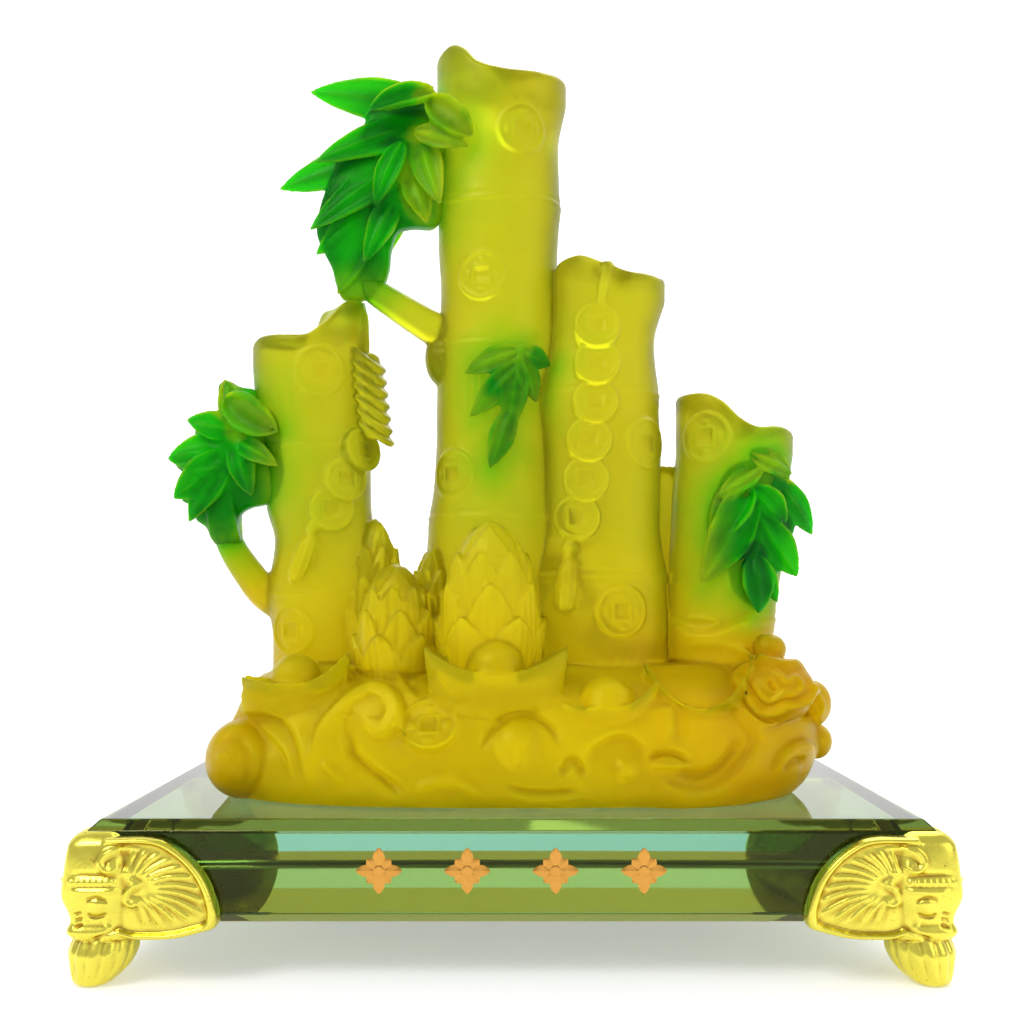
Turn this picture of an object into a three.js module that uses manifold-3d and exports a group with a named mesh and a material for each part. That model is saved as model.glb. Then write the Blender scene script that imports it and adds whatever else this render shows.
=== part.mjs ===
// Bamboo ornament: a resin casting of five bamboo stalks on a base of waves, ingots and
// a flower, with four green leaf sprays, on a bevelled glass slab that stands on four
// gilt elephant head feet.
// Millimetres, +Z up, front towards -Y, origin on the floor under the middle of the slab.

import * as THREE from 'three';
import { LoftGeometry } from 'three/addons/geometries/LoftGeometry.js';
import { mergeVertices } from 'three/addons/utils/BufferGeometryUtils.js';
import Module from 'manifold-3d';

const wasm = await Module();
wasm.setup();

// Glass slab
const SLAB_WIDTH = 164;
const SLAB_DEPTH = 82;
const SLAB_THICKNESS = 20;
const SLAB_BEVEL = 2.1;
const FOOT_HEIGHT = 10;
const GAP = 0.3;
const SLAB_TOP = FOOT_HEIGHT + SLAB_THICKNESS;

// Resin casting
const CASTING_BOTTOM = SLAB_TOP + GAP;
const STALK_FLATNESS = 0.85;
const STALK_SIDES = 12;
const RIM_PROFILE = [[1.01, -1.3], [0.93, 0], [0.74, -1]];
const BELOW_RIM = 3.4;
const DISH_DEPTH = 4;
const RIDGE_RISE = 0.8;
const RIDGE_HALF = 1.5;
const BRANCH_SIDES = 7;
const COIN = { back: -1.4, rim: [[5.7, 0.8], [4.7, 0.4]], radius: 6, sides: 12, hole: 2.8 };
const STRUNG_COIN = { back: -3.4, rim: [[4.9, 1.2]], radius: 5.4, sides: 10, hole: 0 };
const STRUNG_COIN_TILT = -9;
const CORD_SIDES = 6;
const BALL_SIDES = [9, 6];
const DOME_SIDES = [10, 6];

// Base mound, level by level: how far it reaches left, right, forward and back
const MOUND_SIDES = 24;
const MOUND_POWER = 2.8;
const MOUND = [
  { z: CASTING_BOTTOM, left: -57, right: 60, front: -28.6, back: 26 },
  { z: 33, left: -64, right: 64, front: -30, back: 28 },
  { z: 37.4, left: -67, right: 67, front: -30, back: 29 },
  { z: 41, left: -65.5, right: 68, front: -29.5, back: 28.5 },
  { z: 46, left: -61.5, right: 67, front: -27, back: 26 },
  { z: 51, left: -59.5, right: 62, front: -24, back: 23 },
  { z: 55, left: -57, right: 57, front: -19, back: 18 },
  { z: 58, left: -48, right: 50, front: -13, back: 12 },
];

// Stalks: the middle and half width at each height, the heights of the joint ridges,
// and the rim's height from its left side, -1, to its right side, 1
const STALKS = {
  left: {
    y: 2,
    levels: [[50, -42.3, 12.6], [63, -42.4, 12.3], [73.3, -43, 12.9], [85.5, -42.8, 11.5],
      [92.8, -44.2, 11.9], [106.6, -45.3, 12.7], [125, -46.4, 12.9]],
    ridges: [73.3, 106.6],
    rim: [[-1, 130.6], [-0.8, 131.4], [0, 131], [0.4, 134], [0.8, 139.4], [1, 140.4]],
  },
  tall: {
    y: 4,
    levels: [[50, -3.5, 17], [80, -3.5, 16.4], [90.6, -3.6, 15.4], [100, -3.8, 14.1],
      [111, -3.8, 13.6], [129.5, -3.3, 13.8], [143, -3, 13.4], [152, -3.2, 13.7],
      [162, -3, 14], [176, -3, 13.7], [186, -2.4, 14.9]],
    ridges: [90.6, 129.5, 162],
    rim: [[-1, 197], [-0.8, 198], [-0.6, 196], [-0.4, 192.5], [-0.15, 190.8], [0.18, 189.9],
      [0.67, 190.3], [1, 191.4]],
  },
  middle: {
    y: -2,
    levels: [[50, 20.4, 14.6], [67, 20.4, 14.6], [77.4, 19.7, 15], [90, 20.4, 12.9],
      [105, 20.7, 12.9], [117.8, 19.8, 13.2], [131, 20.8, 11.4], [139, 22.2, 12.3]],
    ridges: [77.4, 117.8],
    rim: [[-1, 148], [-0.7, 148.2], [-0.2, 146], [0.4, 144], [0.9, 144], [1, 144.6]],
  },
  right: {
    y: 0,
    levels: [[50, 46.7, 11.8], [67.5, 47.5, 12.1], [84.7, 49, 12.9], [96, 49.6, 13],
      [105, 50.6, 13.2]],
    ridges: [67.5],
    rim: [[-1, 118.5], [-0.7, 118.2], [-0.4, 116.5], [0, 111.9], [0.3, 110.4], [0.7, 110.8],
      [1, 110.2]],
  },
  slim: {
    y: 8,
    levels: [[50, 37, 6.4], [78, 37.4, 6.2], [97, 37.6, 6]],
    ridges: [78],
    rim: [[-1, 103.6], [1, 102.4]],
  },
};

// Side branches: points along the middle and the radius at each end
const BRANCHES = {
  left: {
    points: [[-50, 1, 70.5], [-55.6, 1, 73.8], [-61.2, 0, 78.6], [-65.6, -0.5, 85], [-66.6, -1, 93.4]],
    radii: [4.3, 3.7],
  },
  tall: {
    points: [[-13, 2, 132], [-18, 1, 134.2], [-24.8, 0, 138.8], [-31, -0.5, 145],
      [-33.2, -1, 153], [-30.8, -1.2, 158.4]],
    radii: [4.2, 3],
  },
};

// Leaf outline as [share of length, share of width], and its bow, keel and half edge
const LEAF = [[0.16, 0.62], [0.46, 1], [0.78, 0.58]];
const LEAF_BOW = 1;
const LEAF_KEEL = 1;
const LEAF_EDGE = 0.35;

// Leaves: root, tip, greatest width and roll about the midrib in degrees
const TOP_LEAVES = [
  { root: [-18.8, -1, 187], tip: [-45.9, 0, 187.9], width: 7.8, roll: -14 },
  { root: [-14.9, -4, 185.1], tip: [-30.3, -6.5, 181.3], width: 5.6, roll: 18 },
  { root: [-17.2, -5, 182.3], tip: [-8.8, -10, 173.6], width: 6.8, roll: -12 },
  { root: [-20.7, -2, 180.8], tip: [-44.2, -4, 170.5], width: 7.7, roll: 14 },
  { root: [-27.3, 1, 174.7], tip: [-53.9, 6, 167.7], width: 7.4, roll: -10 },
  { root: [-23.1, -1, 173.9], tip: [-45.2, -3, 155.9], width: 7.9, roll: 16 },
  { root: [-24.2, 0, 170.6], tip: [-41, -2, 146], width: 9, roll: -12 },
  { root: [-25.1, 1, 167.9], tip: [-38.4, 1, 142.6], width: 7.6, roll: 20 },
  { root: [-26.1, -3, 166.8], tip: [-30.1, -8, 154.9], width: 5.4, roll: -8 },
  { root: [-21.6, -3, 177.3], tip: [-15.8, -8, 159.7], width: 6.9, roll: 14 },
  { root: [-23.3, -2, 168.3], tip: [-18, -5, 156.1], width: 6.3, roll: -16 },
  { root: [-17, 2, 186], tip: [-35.5, 7, 182.5], width: 6.8, roll: 190 },
  { root: [-20, 3, 178], tip: [-41, 9, 176.5], width: 7.2, roll: 168 },
  { root: [-23, 2, 169], tip: [-32, 8, 150], width: 7, roll: 172 },
  { root: [-17, 4, 180], tip: [-14.5, 11, 166], width: 6.6, roll: 184 },
];
const LEFT_LEAVES = [
  { root: [-61.1, -3, 107.9], tip: [-65.8, -3, 122.4], width: 6.4, roll: 12 },
  { root: [-62, -4, 108.6], tip: [-74.4, -5, 112.3], width: 6.2, roll: -14 },
  { root: [-61.1, -3, 108], tip: [-78, -2, 104.6], width: 7.8, roll: 12 },
  { root: [-61.1, -3, 106.1], tip: [-76.6, -3, 95.4], width: 7.8, roll: -12 },
  { root: [-61.1, -3, 104.8], tip: [-73.5, -1, 89.6], width: 6.9, roll: 16 },
  { root: [-62, -1, 103], tip: [-67.2, 2.5, 85.5], width: 6.4, roll: -10 },
  { root: [-61.8, -5, 114.8], tip: [-49.9, -10.5, 109.4], width: 6.4, roll: 14 },
  { root: [-60.3, -5, 108.7], tip: [-49.7, -11, 100.7], width: 5.6, roll: -12 },
  { root: [-60.2, -5, 107.8], tip: [-59.5, -8, 95.2], width: 5.6, roll: 10 },
  { root: [-61, 1, 107], tip: [-73, 6, 107], width: 6.8, roll: 186 },
  { root: [-61, 1, 105], tip: [-71, 6, 96], width: 6.6, roll: 172 },
  { root: [-61, 2, 108], tip: [-58.5, 9.5, 119], width: 6.2, roll: 182 },
];
const FRONT_LEAVES = [
  { root: [2.2, -9, 126.6], tip: [-11.4, -7.9, 123], width: 5.4, roll: 10 },
  { root: [2.2, -9, 125.7], tip: [-9.3, -8.8, 112.4], width: 5.2, roll: -10 },
  { root: [0.6, -9, 122.3], tip: [-0.4, -9.2, 109], width: 6, roll: 8 },
  { root: [-0.8, -9, 113.8], tip: [-5.1, -8.8, 101.6], width: 5.2, roll: -8 },
  { root: [1.9, -9, 126.6], tip: [8.8, -8.8, 130.1], width: 4.8, roll: 10 },
  { root: [2.2, -9, 125.6], tip: [5.6, -9, 115.5], width: 4.8, roll: -8 },
];
const RIGHT_LEAVES = [
  { root: [55, -9.6, 103.6], tip: [46.2, -12, 96.4], width: 4.8, roll: 10 },
  { root: [54.6, -9.6, 103.2], tip: [64.2, -6, 101.4], width: 5.6, roll: -10 },
  { root: [53.6, -10.4, 98.4], tip: [44, -12.4, 86.5], width: 5.4, roll: 10 },
  { root: [53.9, -10.4, 96.4], tip: [44.2, -12.6, 76.6], width: 6.8, roll: -10 },
  { root: [54, -10.4, 98], tip: [61, -9.4, 88.2], width: 6.8, roll: 12 },
  { root: [59.6, -6.2, 100.2], tip: [67.4, -3.4, 86.6], width: 6.6, roll: -12 },
  { root: [55.4, -8.6, 92.4], tip: [63.6, -7.2, 77.6], width: 7, roll: 12 },
  { root: [53.4, -10, 86], tip: [55.9, -11.6, 71.4], width: 5.8, roll: -10 },
  { root: [51.8, -10.6, 83], tip: [50.6, -12, 68.6], width: 5.6, roll: 10 },
  { root: [60.8, -2, 99], tip: [66.8, 3.4, 84.6], width: 6.4, roll: 196 },
];

// Twigs that the leaves grow from: points along the middle and the radius at each end
const TOP_TWIG = {
  points: [[-29.6, -1.2, 160.4], [-26, -0.8, 165], [-22, -0.4, 173], [-19, 0, 181],
    [-15.4, 0.6, 187]],
  radii: [2.7, 1.5],
};
const LEFT_TWIG = {
  points: [[-66.4, -1.2, 95.8], [-65.4, -2, 101], [-62.4, -3, 106.4], [-60.8, -4, 112]],
  radii: [3, 1.7],
};
const FRONT_TWIG = {
  points: [[2.3, -8.6, 128], [1.4, -8.7, 122.6], [-0.4, -8.6, 113.4]],
  radii: [1.7, 1.3],
};
const RIGHT_TWIG = {
  points: [[60.6, -5.4, 102], [55.4, -9.4, 101.6], [53.6, -10.4, 95], [52.6, -10.8, 84]],
  radii: [1.8, 1.4],
};

// Flattened mass of resin behind the leaves of the two sprays that stand clear
const TOP_CORE = { points: [[-36, 0, 151], [-30, 0, 163], [-24, 1, 175], [-18, 1, 184]],
  radii: [5.4, 4.4], flat: 0.42 };
const LEFT_CORE = { points: [[-66.5, -1, 98.5], [-64.4, -1.5, 104], [-62.4, -2, 110.5]],
  radii: [4.6, 3.6], flat: 0.5 };

// Coins on the stalks: which stalk, and the middle of the coin as x and height
const STALK_COINS = [
  ['left', -42.4, 122.8], ['left', -49, 65.5], ['tall', 2.2, 176.9], ['tall', -6.7, 144.4],
  ['tall', -13.2, 100.3], ['middle', 29.4, 106.5], ['middle', 23.8, 69.9],
  ['right', 42.6, 108],
];

// Coins threaded on a cord: down the front of the middle stalk as x and height, and round
// the left one as an angle from its right side towards the front, height and standoff
const MIDDLE_STRING = [[14.1, 90], [16, 98.3], [16.7, 106.9], [18, 115.2], [18.4, 123.6],
  [18.4, 131.4]];
const MIDDLE_STRING_DEPTH = -13.8;
const LEFT_STRING = [[-70, 93.5, 0], [-58, 98.4, 0.8], [-45, 103.5, 2], [-33, 108.8, 3.4],
  [-24, 114.6, 4.4], [-18, 120.6, 4], [-14, 126.6, 1.6]];

// Boat shaped ingots: middle, half length, half width, and the heights of the keel, the
// rim's middle, both tips and the dome's radius
const INGOTS = [
  { x: -3.3, y: -23.5, half: 15.2, wide: 6.4, keel: 44, dip: 57.6, tips: [63.4, 63.4], dome: 6 },
  { x: -45.9, y: -17.4, half: 11.6, wide: 6.4, keel: 44, dip: 55, tips: [56.4, 62.1], dome: 5.4 },
  { x: 19.6, y: -22.6, half: 10.9, wide: 6, keel: 42, dip: 50.4, tips: [51.4, 57], dome: 5.8 },
  { x: 39.2, y: -18.6, half: 11.8, wide: 7, keel: 42, dip: 50, tips: [61, 61], dome: 5 },
  { x: 24, y: 17, half: 13, wide: 6, keel: 44, dip: 56.6, tips: [62, 62], dome: 5.6 },
];

// Swelling under the tall stalk's branch, and balls half sunk in the base: middle, radius
const SWELLING = [-16.8, 2, 127.4, 5.4];
const BALLS = [
  [1.2, -28, 41.2, 7.4], [22.8, -28, 37.8, 3.7], [56.7, -8, 62, 3.8], [65.8, -9, 47.6, 4.4],
  [68, -6, 41.2, 3.4], [-57.6, -20, 37, 3.2], [-6, 27, 40, 6.4], [66, 9, 45, 4.6],
];

// Curling waves on the base: middle of the curl, its outer and inner radius, the angles
// where its crest starts and ends in degrees, and the crest's radius at both ends
const WAVES = [
  { at: [-29.6, 47.6], radii: [8.8, 2], angles: [205, -250], crest: [3, 1.2] },
  { at: [-57, 37.4], radii: [7.6, 2.6], angles: [20, 330], crest: [2.4, 1.2] },
  { at: [39.8, 40.6], radii: [9, 8.4], angles: [205, 350], crest: [1.2, 1.8] },
  { at: [22.8, 37.8], radii: [7, 6.2], angles: [10, 190], crest: [1.2, 2] },
  { at: [1.2, 41.2], radii: [9.6, 9.2], angles: [250, 340], crest: [1, 1.8] },
];
const BACK_WAVES = [
  { at: [30, 46], radii: [8.8, 2], angles: [205, -250], crest: [3, 1.2] },
  { at: [-40, 40.6], radii: [9, 8.4], angles: [205, 350], crest: [1.4, 2] },
];

const WAVE_STEP = 38;
const WAVE_SIDES = 5;
const WAVE_FLOOR = CASTING_BOTTOM + 2.4;

// Bamboo shoots: foot, radius at the foot, height of the tip, and rings of sheaths
const SHOOTS = [
  { foot: [-4.8, -13, 54], radius: 10.4, top: 89.3, tiers: 3 },
  { foot: [-25.4, -12.6, 54], radius: 7.4, top: 80.2, tiers: 3 },
  { foot: [-31, -2, 56], radius: 6, top: 90.6, tiers: 2 },
  { foot: [-17.6, -5, 58], radius: 4.6, top: 84, tiers: 2 },
  { foot: [13.2, 14, 54], radius: 8, top: 82, tiers: 3 },
];
const SHEATHS_PER_TIER = 5;
const SHEATH_TOP = 0.66;
const SHEATH_STEP = 1;
const SHOOT_PROFILE = [[0, 0.9], [0.3, 0.86], [0.6, 0.64], [0.82, 0.42], [0.96, 0.18]];

// Tassel: share of its length and the radius there
const TASSEL = [[0, 1.9], [0.16, 1.9], [0.22, 1.2], [0.34, 2.2], [0.6, 2.6], [0.9, 1.2]];
const TASSEL_SIDES = 8;

// Open flower on the right end of the base: rings as [reach, height along its facing,
// number of petals, depth of the notches between them, turn in degrees]
const FLOWER = {
  middle: [55.4, -16, 50.4],
  facing: [0.3, -0.85, 0.42],
  sides: 24,
  rings: [[5, -6, 6, 0, 0], [10.4, -1.4, 6, 0.12, 0], [11.2, 1.2, 6, 0.2, 0], [7.6, 0.4, 6, 0, 0],
    [6.6, 3.6, 4, 0.16, 30], [4.4, 2, 4, 0, 30], [1.6, 3.2, 4, 0, 30]],
  heart: 4.4,
};

// Elephant head foot, measured inward from the slab's corner along either edge. Its trunk
// reaches the floor, FOOT_DROP below the level that all heights are measured from.
const FOOT_DROP = 1.5;
const HEAD_LEVELS = [
  { z: 28.1, out: -0.6, in: 6 }, { z: 25.6, out: -3.2, in: 8.4 }, { z: 20, out: -4, in: 9 },
  { z: 16.5, out: -4.6, in: 9 }, { z: 11, out: -2.9, in: 8.6 }, { z: 9.2, out: -3.5, in: 8.6 },
  { z: 7.8, out: -2.8, in: 9.6 },
];
const HEAD_SIDES = 10;
const TRUNK_LEVELS = [
  { z: -FOOT_DROP, middle: 1, radius: 2.6 }, { z: -0.5, middle: 1.3, radius: 4 },
  { z: 2, middle: 2.2, radius: 5.8 }, { z: 5, middle: 2.7, radius: 6.6 },
  { z: 8, middle: 3.2, radius: 6 },
];
const TRUNK_SIDES = 14;
const TRUNK_CREASE = 0.9;
const EAR_HUB = [9.3, 18];
const SIDE_EAR_HEIGHT = 0.8;
const EAR_OUTLINE = [[4.6, 27.2], [8.4, 27.3], [12, 27.3], [15.4, 26.7], [18.4, 25], [21, 22.8],
  [23.4, 19.8], [25.2, 15.8], [26, 11.8], [25.4, 10], [22.6, 9], [18.4, 8], [14, 7.7],
  [9, 8], [5, 10], [3.4, 16], [3.2, 22], [3.6, 26]];
const EAR_THICKNESS = 2.4;
const EAR_RIM = 1.1;
const EAR_FLUTE = 0.9;
const SHELF = { z: 4.6, reach: 13 };
const EYE = { at: [4.4, -3.6, 15.6], size: [2, 1.2, 1.3], sides: [8, 4] };

const V = (x, y, z) => new THREE.Vector3(x, y, z);
const UP = V(0, 0, 1);
const FRONT = V(0, -1, 0);
const radians = THREE.MathUtils.degToRad;

// Centroid of a ring of points
function centreOf(ring) {
  const sum = ring.reduce((total, point) => total.add(point), V(0, 0, 0));
  return sum.divideScalar(ring.length);
}

// Manifold solid of a closed geometry, turned right side out
function solid(geometry) {
  const plain = new THREE.BufferGeometry();
  plain.setAttribute('position', geometry.getAttribute('position'));
  plain.setIndex(geometry.getIndex());
  const merged = mergeVertices(plain, 1e-3);
  const vertProperties = merged.getAttribute('position').array;
  const index = merged.index.array;
  const corner = (i) => new THREE.Vector3().fromArray(vertProperties, 3 * i);
  const faces = [];
  let volume = 0;
  for (let i = 0; i < index.length; i += 3) {
    const [a, b, c] = index.slice(i, i + 3);
    if (a === b || b === c || c === a) continue;
    faces.push([a, b, c]);
    volume += corner(a).dot(corner(b).cross(corner(c)));
  }
  if (volume < 0) faces.forEach((face) => face.reverse());
  const triVerts = new Uint32Array(faces.flat());
  return new wasm.Manifold(new wasm.Mesh({ numProp: 3, vertProperties, triVerts }));
}

// Closed solid through equal rings of points, with each end drawn in to one point
function loft(rings, startTip = centreOf(rings[0]), endTip = centreOf(rings.at(-1))) {
  const pointRing = (tip) => rings[0].map(() => tip.clone());
  return solid(new LoftGeometry([pointRing(startTip), ...rings, pointRing(endTip)]));
}

function union(pieces) {
  return pieces.reduce((whole, piece) => whole.add(piece));
}

// The largest connected body, without scraps or sealed hollows
function mainBody(manifold) {
  const bodies = manifold.decompose();
  return bodies.reduce((best, body) => (body.volume() > best.volume() ? body : best));
}

// Value at a place in a list of [place, value] pairs, between its neighbours
function between(pairs, place, column = 1) {
  const next = pairs.findIndex((pair) => pair[0] >= place);
  if (next === -1) return pairs.at(-1)[column];
  if (next === 0) return pairs[0][column];
  const [low, high] = [pairs[next - 1], pairs[next]];
  const share = (place - low[0]) / (high[0] - low[0]);
  return THREE.MathUtils.lerp(low[column], high[column], share);
}

// Tapered round bar along a smooth curve through the points
function bar({ points, radii, grow = 0, flat = 1, sides = BRANCH_SIDES, steps = points.length + 1 }) {
  const curve = new THREE.CatmullRomCurve3(points.map((point) => V(...point)));
  const rings = [];
  for (let i = 0; i <= steps; i++) {
    const share = i / steps;
    const middle = curve.getPoint(share);
    const along = curve.getTangent(share);
    const out = FRONT.clone().addScaledVector(along, -along.dot(FRONT)).normalize();
    const side = along.clone().cross(out);
    const radius = THREE.MathUtils.lerp(radii[0], radii.at(-1), share) + grow;
    rings.push(Array.from({ length: sides }, (_, k) => {
      const angle = (2 * Math.PI * k) / sides;
      return middle.clone().addScaledVector(out, flat * radius * Math.cos(angle))
        .addScaledVector(side, radius * Math.sin(angle));
    }));
  }
  const startTip = curve.getPoint(0).addScaledVector(curve.getTangent(0), -0.5 * radii[0] - grow);
  const endTip = curve.getPoint(1).addScaledVector(curve.getTangent(1), 0.5 * radii.at(-1) + grow);
  return loft(rings, startTip, endTip);
}

// Pointed leaf with a keel along its middle
function blade({ root, tip, width, roll }) {
  const [start, end] = [V(...root), V(...tip)];
  const along = end.clone().sub(start);
  const length = along.length();
  along.normalize();
  const out = FRONT.clone().addScaledVector(along, -along.dot(FRONT)).normalize();
  out.applyAxisAngle(along, radians(roll));
  const side = along.clone().cross(out);
  const rings = LEAF.map(([share, spread]) => {
    const middle = start.clone().addScaledVector(along, share * length)
      .addScaledVector(out, LEAF_BOW * Math.sin(Math.PI * share));
    const half = 0.5 * width * spread;
    const section = [[0, LEAF_KEEL], [half, LEAF_EDGE], [half, -LEAF_EDGE], [0, -LEAF_KEEL],
      [-half, -LEAF_EDGE], [-half, LEAF_EDGE]];
    return section.map(([across, lift]) => middle.clone().addScaledVector(side, across)
      .addScaledVector(out, lift));
  });
  return loft(rings, start, end);
}

// Bamboo stalk with joint ridges, a slanted rim and a dished top
function stalk({ y, levels, ridges, rim }, grow = 0) {
  const rimLow = Math.min(...rim.map(([, height]) => height));
  const plain = levels.map(([z]) => z).filter((z) => !ridges.includes(z));
  const ridged = ridges.flatMap((z) => [z - RIDGE_HALF, z, z + RIDGE_HALF]);
  const heights = [...plain, ...ridged, rimLow - BELOW_RIM].sort((a, b) => a - b);
  const ring = (x, radius, heightAt) => Array.from({ length: STALK_SIDES }, (_, k) => {
    const angle = (2 * Math.PI * (k + 0.5)) / STALK_SIDES;
    const across = Math.cos(angle);
    const depth = y + STALK_FLATNESS * radius * Math.sin(angle);
    return V(x + radius * across, depth, heightAt(across));
  });
  const rings = heights.map((z) => {
    const radius = between(levels, z, 2) + (ridges.includes(z) ? RIDGE_RISE : 0) + grow;
    return ring(between(levels, z), radius, () => z);
  });
  const [, x, radius] = levels.at(-1);
  const rimAt = (across) => between(rim, across);
  RIM_PROFILE.forEach(([share, drop]) => {
    rings.push(ring(x, share * radius + grow, (across) => rimAt(across) + drop + grow));
  });
  const dish = V(x, y, between(rim, 0) - DISH_DEPTH + grow);
  return loft(rings, undefined, dish);
}

// Coin in its own frame, facing +Z, with a square hole where it has one
function flatCoin({ back, rim, radius, sides, hole }) {
  const face = rim.at(-1)[1];
  const profile = [[0, back], [radius, back], ...rim, [0, face]];
  const lathe = new THREE.LatheGeometry(profile.map(([r, z]) => new THREE.Vector2(r, z)), sides);
  lathe.rotateX(Math.PI / 2);
  if (!hole) return solid(lathe);
  const cutter = new THREE.BoxGeometry(hole, hole, 2);
  cutter.translate(0, 0, face + 0.8);
  return solid(lathe).subtract(solid(cutter));
}

// Place a solid made in its own frame, whose +Z then faces out and +Y points up
function place(manifold, middle, out, tilt = 0) {
  const side = UP.clone().cross(out).normalize();
  const lean = out.clone().applyAxisAngle(side, radians(tilt));
  const matrix = new THREE.Matrix4().makeBasis(side, lean.clone().cross(side), lean);
  matrix.setPosition(middle);
  return manifold.transform(matrix.elements);
}

// Coin wrapped on a stalk's surface
function stalkCoin([name, x, z]) {
  const { y, levels } = STALKS[name];
  const [middle, radius] = [between(levels, z), between(levels, z, 2)];
  const angle = Math.acos((x - middle) / radius);
  const out = V(Math.cos(angle), -Math.sin(angle) / STALK_FLATNESS, 0).normalize();
  const surface = V(x, y - STALK_FLATNESS * radius * Math.sin(angle), z);
  const bend = (point) => {
    point[2] -= radius - Math.sqrt(radius ** 2 - point[0] ** 2);
  };
  return place(flatCoin(COIN).warp(bend), surface, out);
}

// Coins overlapping like roof tiles down the front of the middle stalk, cord and tassel
function middleString() {
  const depth = MIDDLE_STRING_DEPTH;
  const coins = MIDDLE_STRING.map(([x, z]) => {
    return place(flatCoin(STRUNG_COIN), V(x, depth, z), FRONT, STRUNG_COIN_TILT);
  });
  const cord = bar({
    points: [[21.4, -7, 144.4], [20.8, -11.8, 144.8], [19.8, -13, 140.6], [19, -13.6, 134]],
    radii: [1.5, 1.1], sides: CORD_SIDES,
  });
  return [...coins, cord, tassel([12.6, depth, 84.6], [11.2, depth, 69.6])];
}

// Coins strung round the left stalk, with a tassel
function leftString() {
  const { y, levels } = STALKS.left;
  const coins = LEFT_STRING.map(([degrees, z, standoff]) => {
    const angle = radians(degrees);
    const [x, radius] = [between(levels, z), between(levels, z, 2) + standoff];
    const out = V(Math.cos(angle), Math.sin(angle) / STALK_FLATNESS, 0).normalize();
    const depth = y + STALK_FLATNESS * radius * Math.sin(angle);
    const middle = V(x + radius * Math.cos(angle), depth, z);
    return place(flatCoin(STRUNG_COIN), middle, out, STRUNG_COIN_TILT);
  });
  const cord = bar({
    points: [[-36.4, 0, 138], [-34.4, -0.4, 137.4], [-33.6, -1, 132], [-33.4, -1.6, 127]],
    radii: [1.4, 1.1], sides: CORD_SIDES,
  });
  return [...coins, cord, tassel([-43.4, -8.6, 89.6], [-47.8, -8.4, 76.4])];
}

// Knot with a bundle of threads under it
function tassel(top, bottom) {
  const [high, low] = [V(...top), V(...bottom)];
  const at = (share) => high.clone().lerp(low, share);
  const rings = TASSEL.map(([share, radius]) => Array.from({ length: TASSEL_SIDES }, (_, k) => {
    const angle = (2 * Math.PI * k) / TASSEL_SIDES;
    return at(share).add(V(radius * Math.cos(angle), radius * Math.sin(angle), 0));
  }));
  return loft(rings, at(-0.06), at(1));
}

// Level ring of the base mound
function moundRing({ z, left, right, front, back }) {
  const bend = (value) => Math.sign(value) * Math.abs(value) ** (2 / MOUND_POWER);
  return Array.from({ length: MOUND_SIDES }, (_, k) => {
    const angle = (2 * Math.PI * k) / MOUND_SIDES;
    const x = (left + right) / 2 + 0.5 * (right - left) * bend(Math.cos(angle));
    const y = (front + back) / 2 + 0.5 * (back - front) * bend(Math.sin(angle));
    return V(x, y, z);
  });
}

// The mound's front surface, or its back one, at a place given by x and height
function moundDepth(x, z, isBack = false) {
  const level = (key) => between(MOUND.map((entry) => [entry.z, entry[key]]), z);
  const [left, right, front, back] = ['left', 'right', 'front', 'back'].map(level);
  const across = Math.min(0.97, Math.abs(2 * x - left - right) / (right - left));
  const reach = 0.5 * (back - front) * (1 - across ** MOUND_POWER) ** (1 / MOUND_POWER);
  return (front + back) / 2 + (isBack ? reach : -reach);
}

// Crest of a curling wave, wound on the mound's surface
function wave({ at: [x, z], radii, angles, crest }, isBack = false) {
  const steps = Math.ceil(Math.abs(angles[1] - angles[0]) / WAVE_STEP);
  const points = Array.from({ length: steps + 1 }, (_, i) => {
    const share = i / steps;
    const radius = THREE.MathUtils.lerp(radii[0], radii[1], share);
    const angle = radians(THREE.MathUtils.lerp(angles[0], angles[1], share));
    const [px, pz] = [x + radius * Math.cos(angle), z + radius * Math.sin(angle)];
    return [px, moundDepth(px, pz, isBack), Math.max(pz, WAVE_FLOOR)];
  });
  return bar({ points, radii: crest, sides: WAVE_SIDES, steps });
}

// Boat shaped ingot with raised tips, a sunken deck and a dome
function ingot({ x, y, half, wide, keel, dip, tips, dome }) {
  const stations = [-1, -0.8, -0.42, 0, 0.42, 0.8, 1];
  const rings = stations.map((s) => {
    const tip = s < 0 ? tips[0] : tips[1];
    const rim = dip + (tip - dip) * Math.abs(s) ** 2;
    const width = 0.8 + (wide - 0.8) * (1 - Math.abs(s) ** 2.6);
    const flank = keel + 0.3 * (rim - keel);
    const section = [[0, keel], [0.75, flank], [1, rim], [0.7, rim - 1.6], [-0.7, rim - 1.6],
      [-1, rim], [-0.75, flank]];
    return section.map(([across, height]) => V(x + half * s, y + width * across, height));
  });
  const cap = new THREE.SphereGeometry(dome, ...DOME_SIDES);
  cap.translate(x, y, dip + 0.4);
  return [loft(rings), solid(cap)];
}

function ball([x, y, z, radius]) {
  const sphere = new THREE.SphereGeometry(radius, ...BALL_SIDES);
  sphere.translate(x, y, z);
  return solid(sphere);
}

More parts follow.
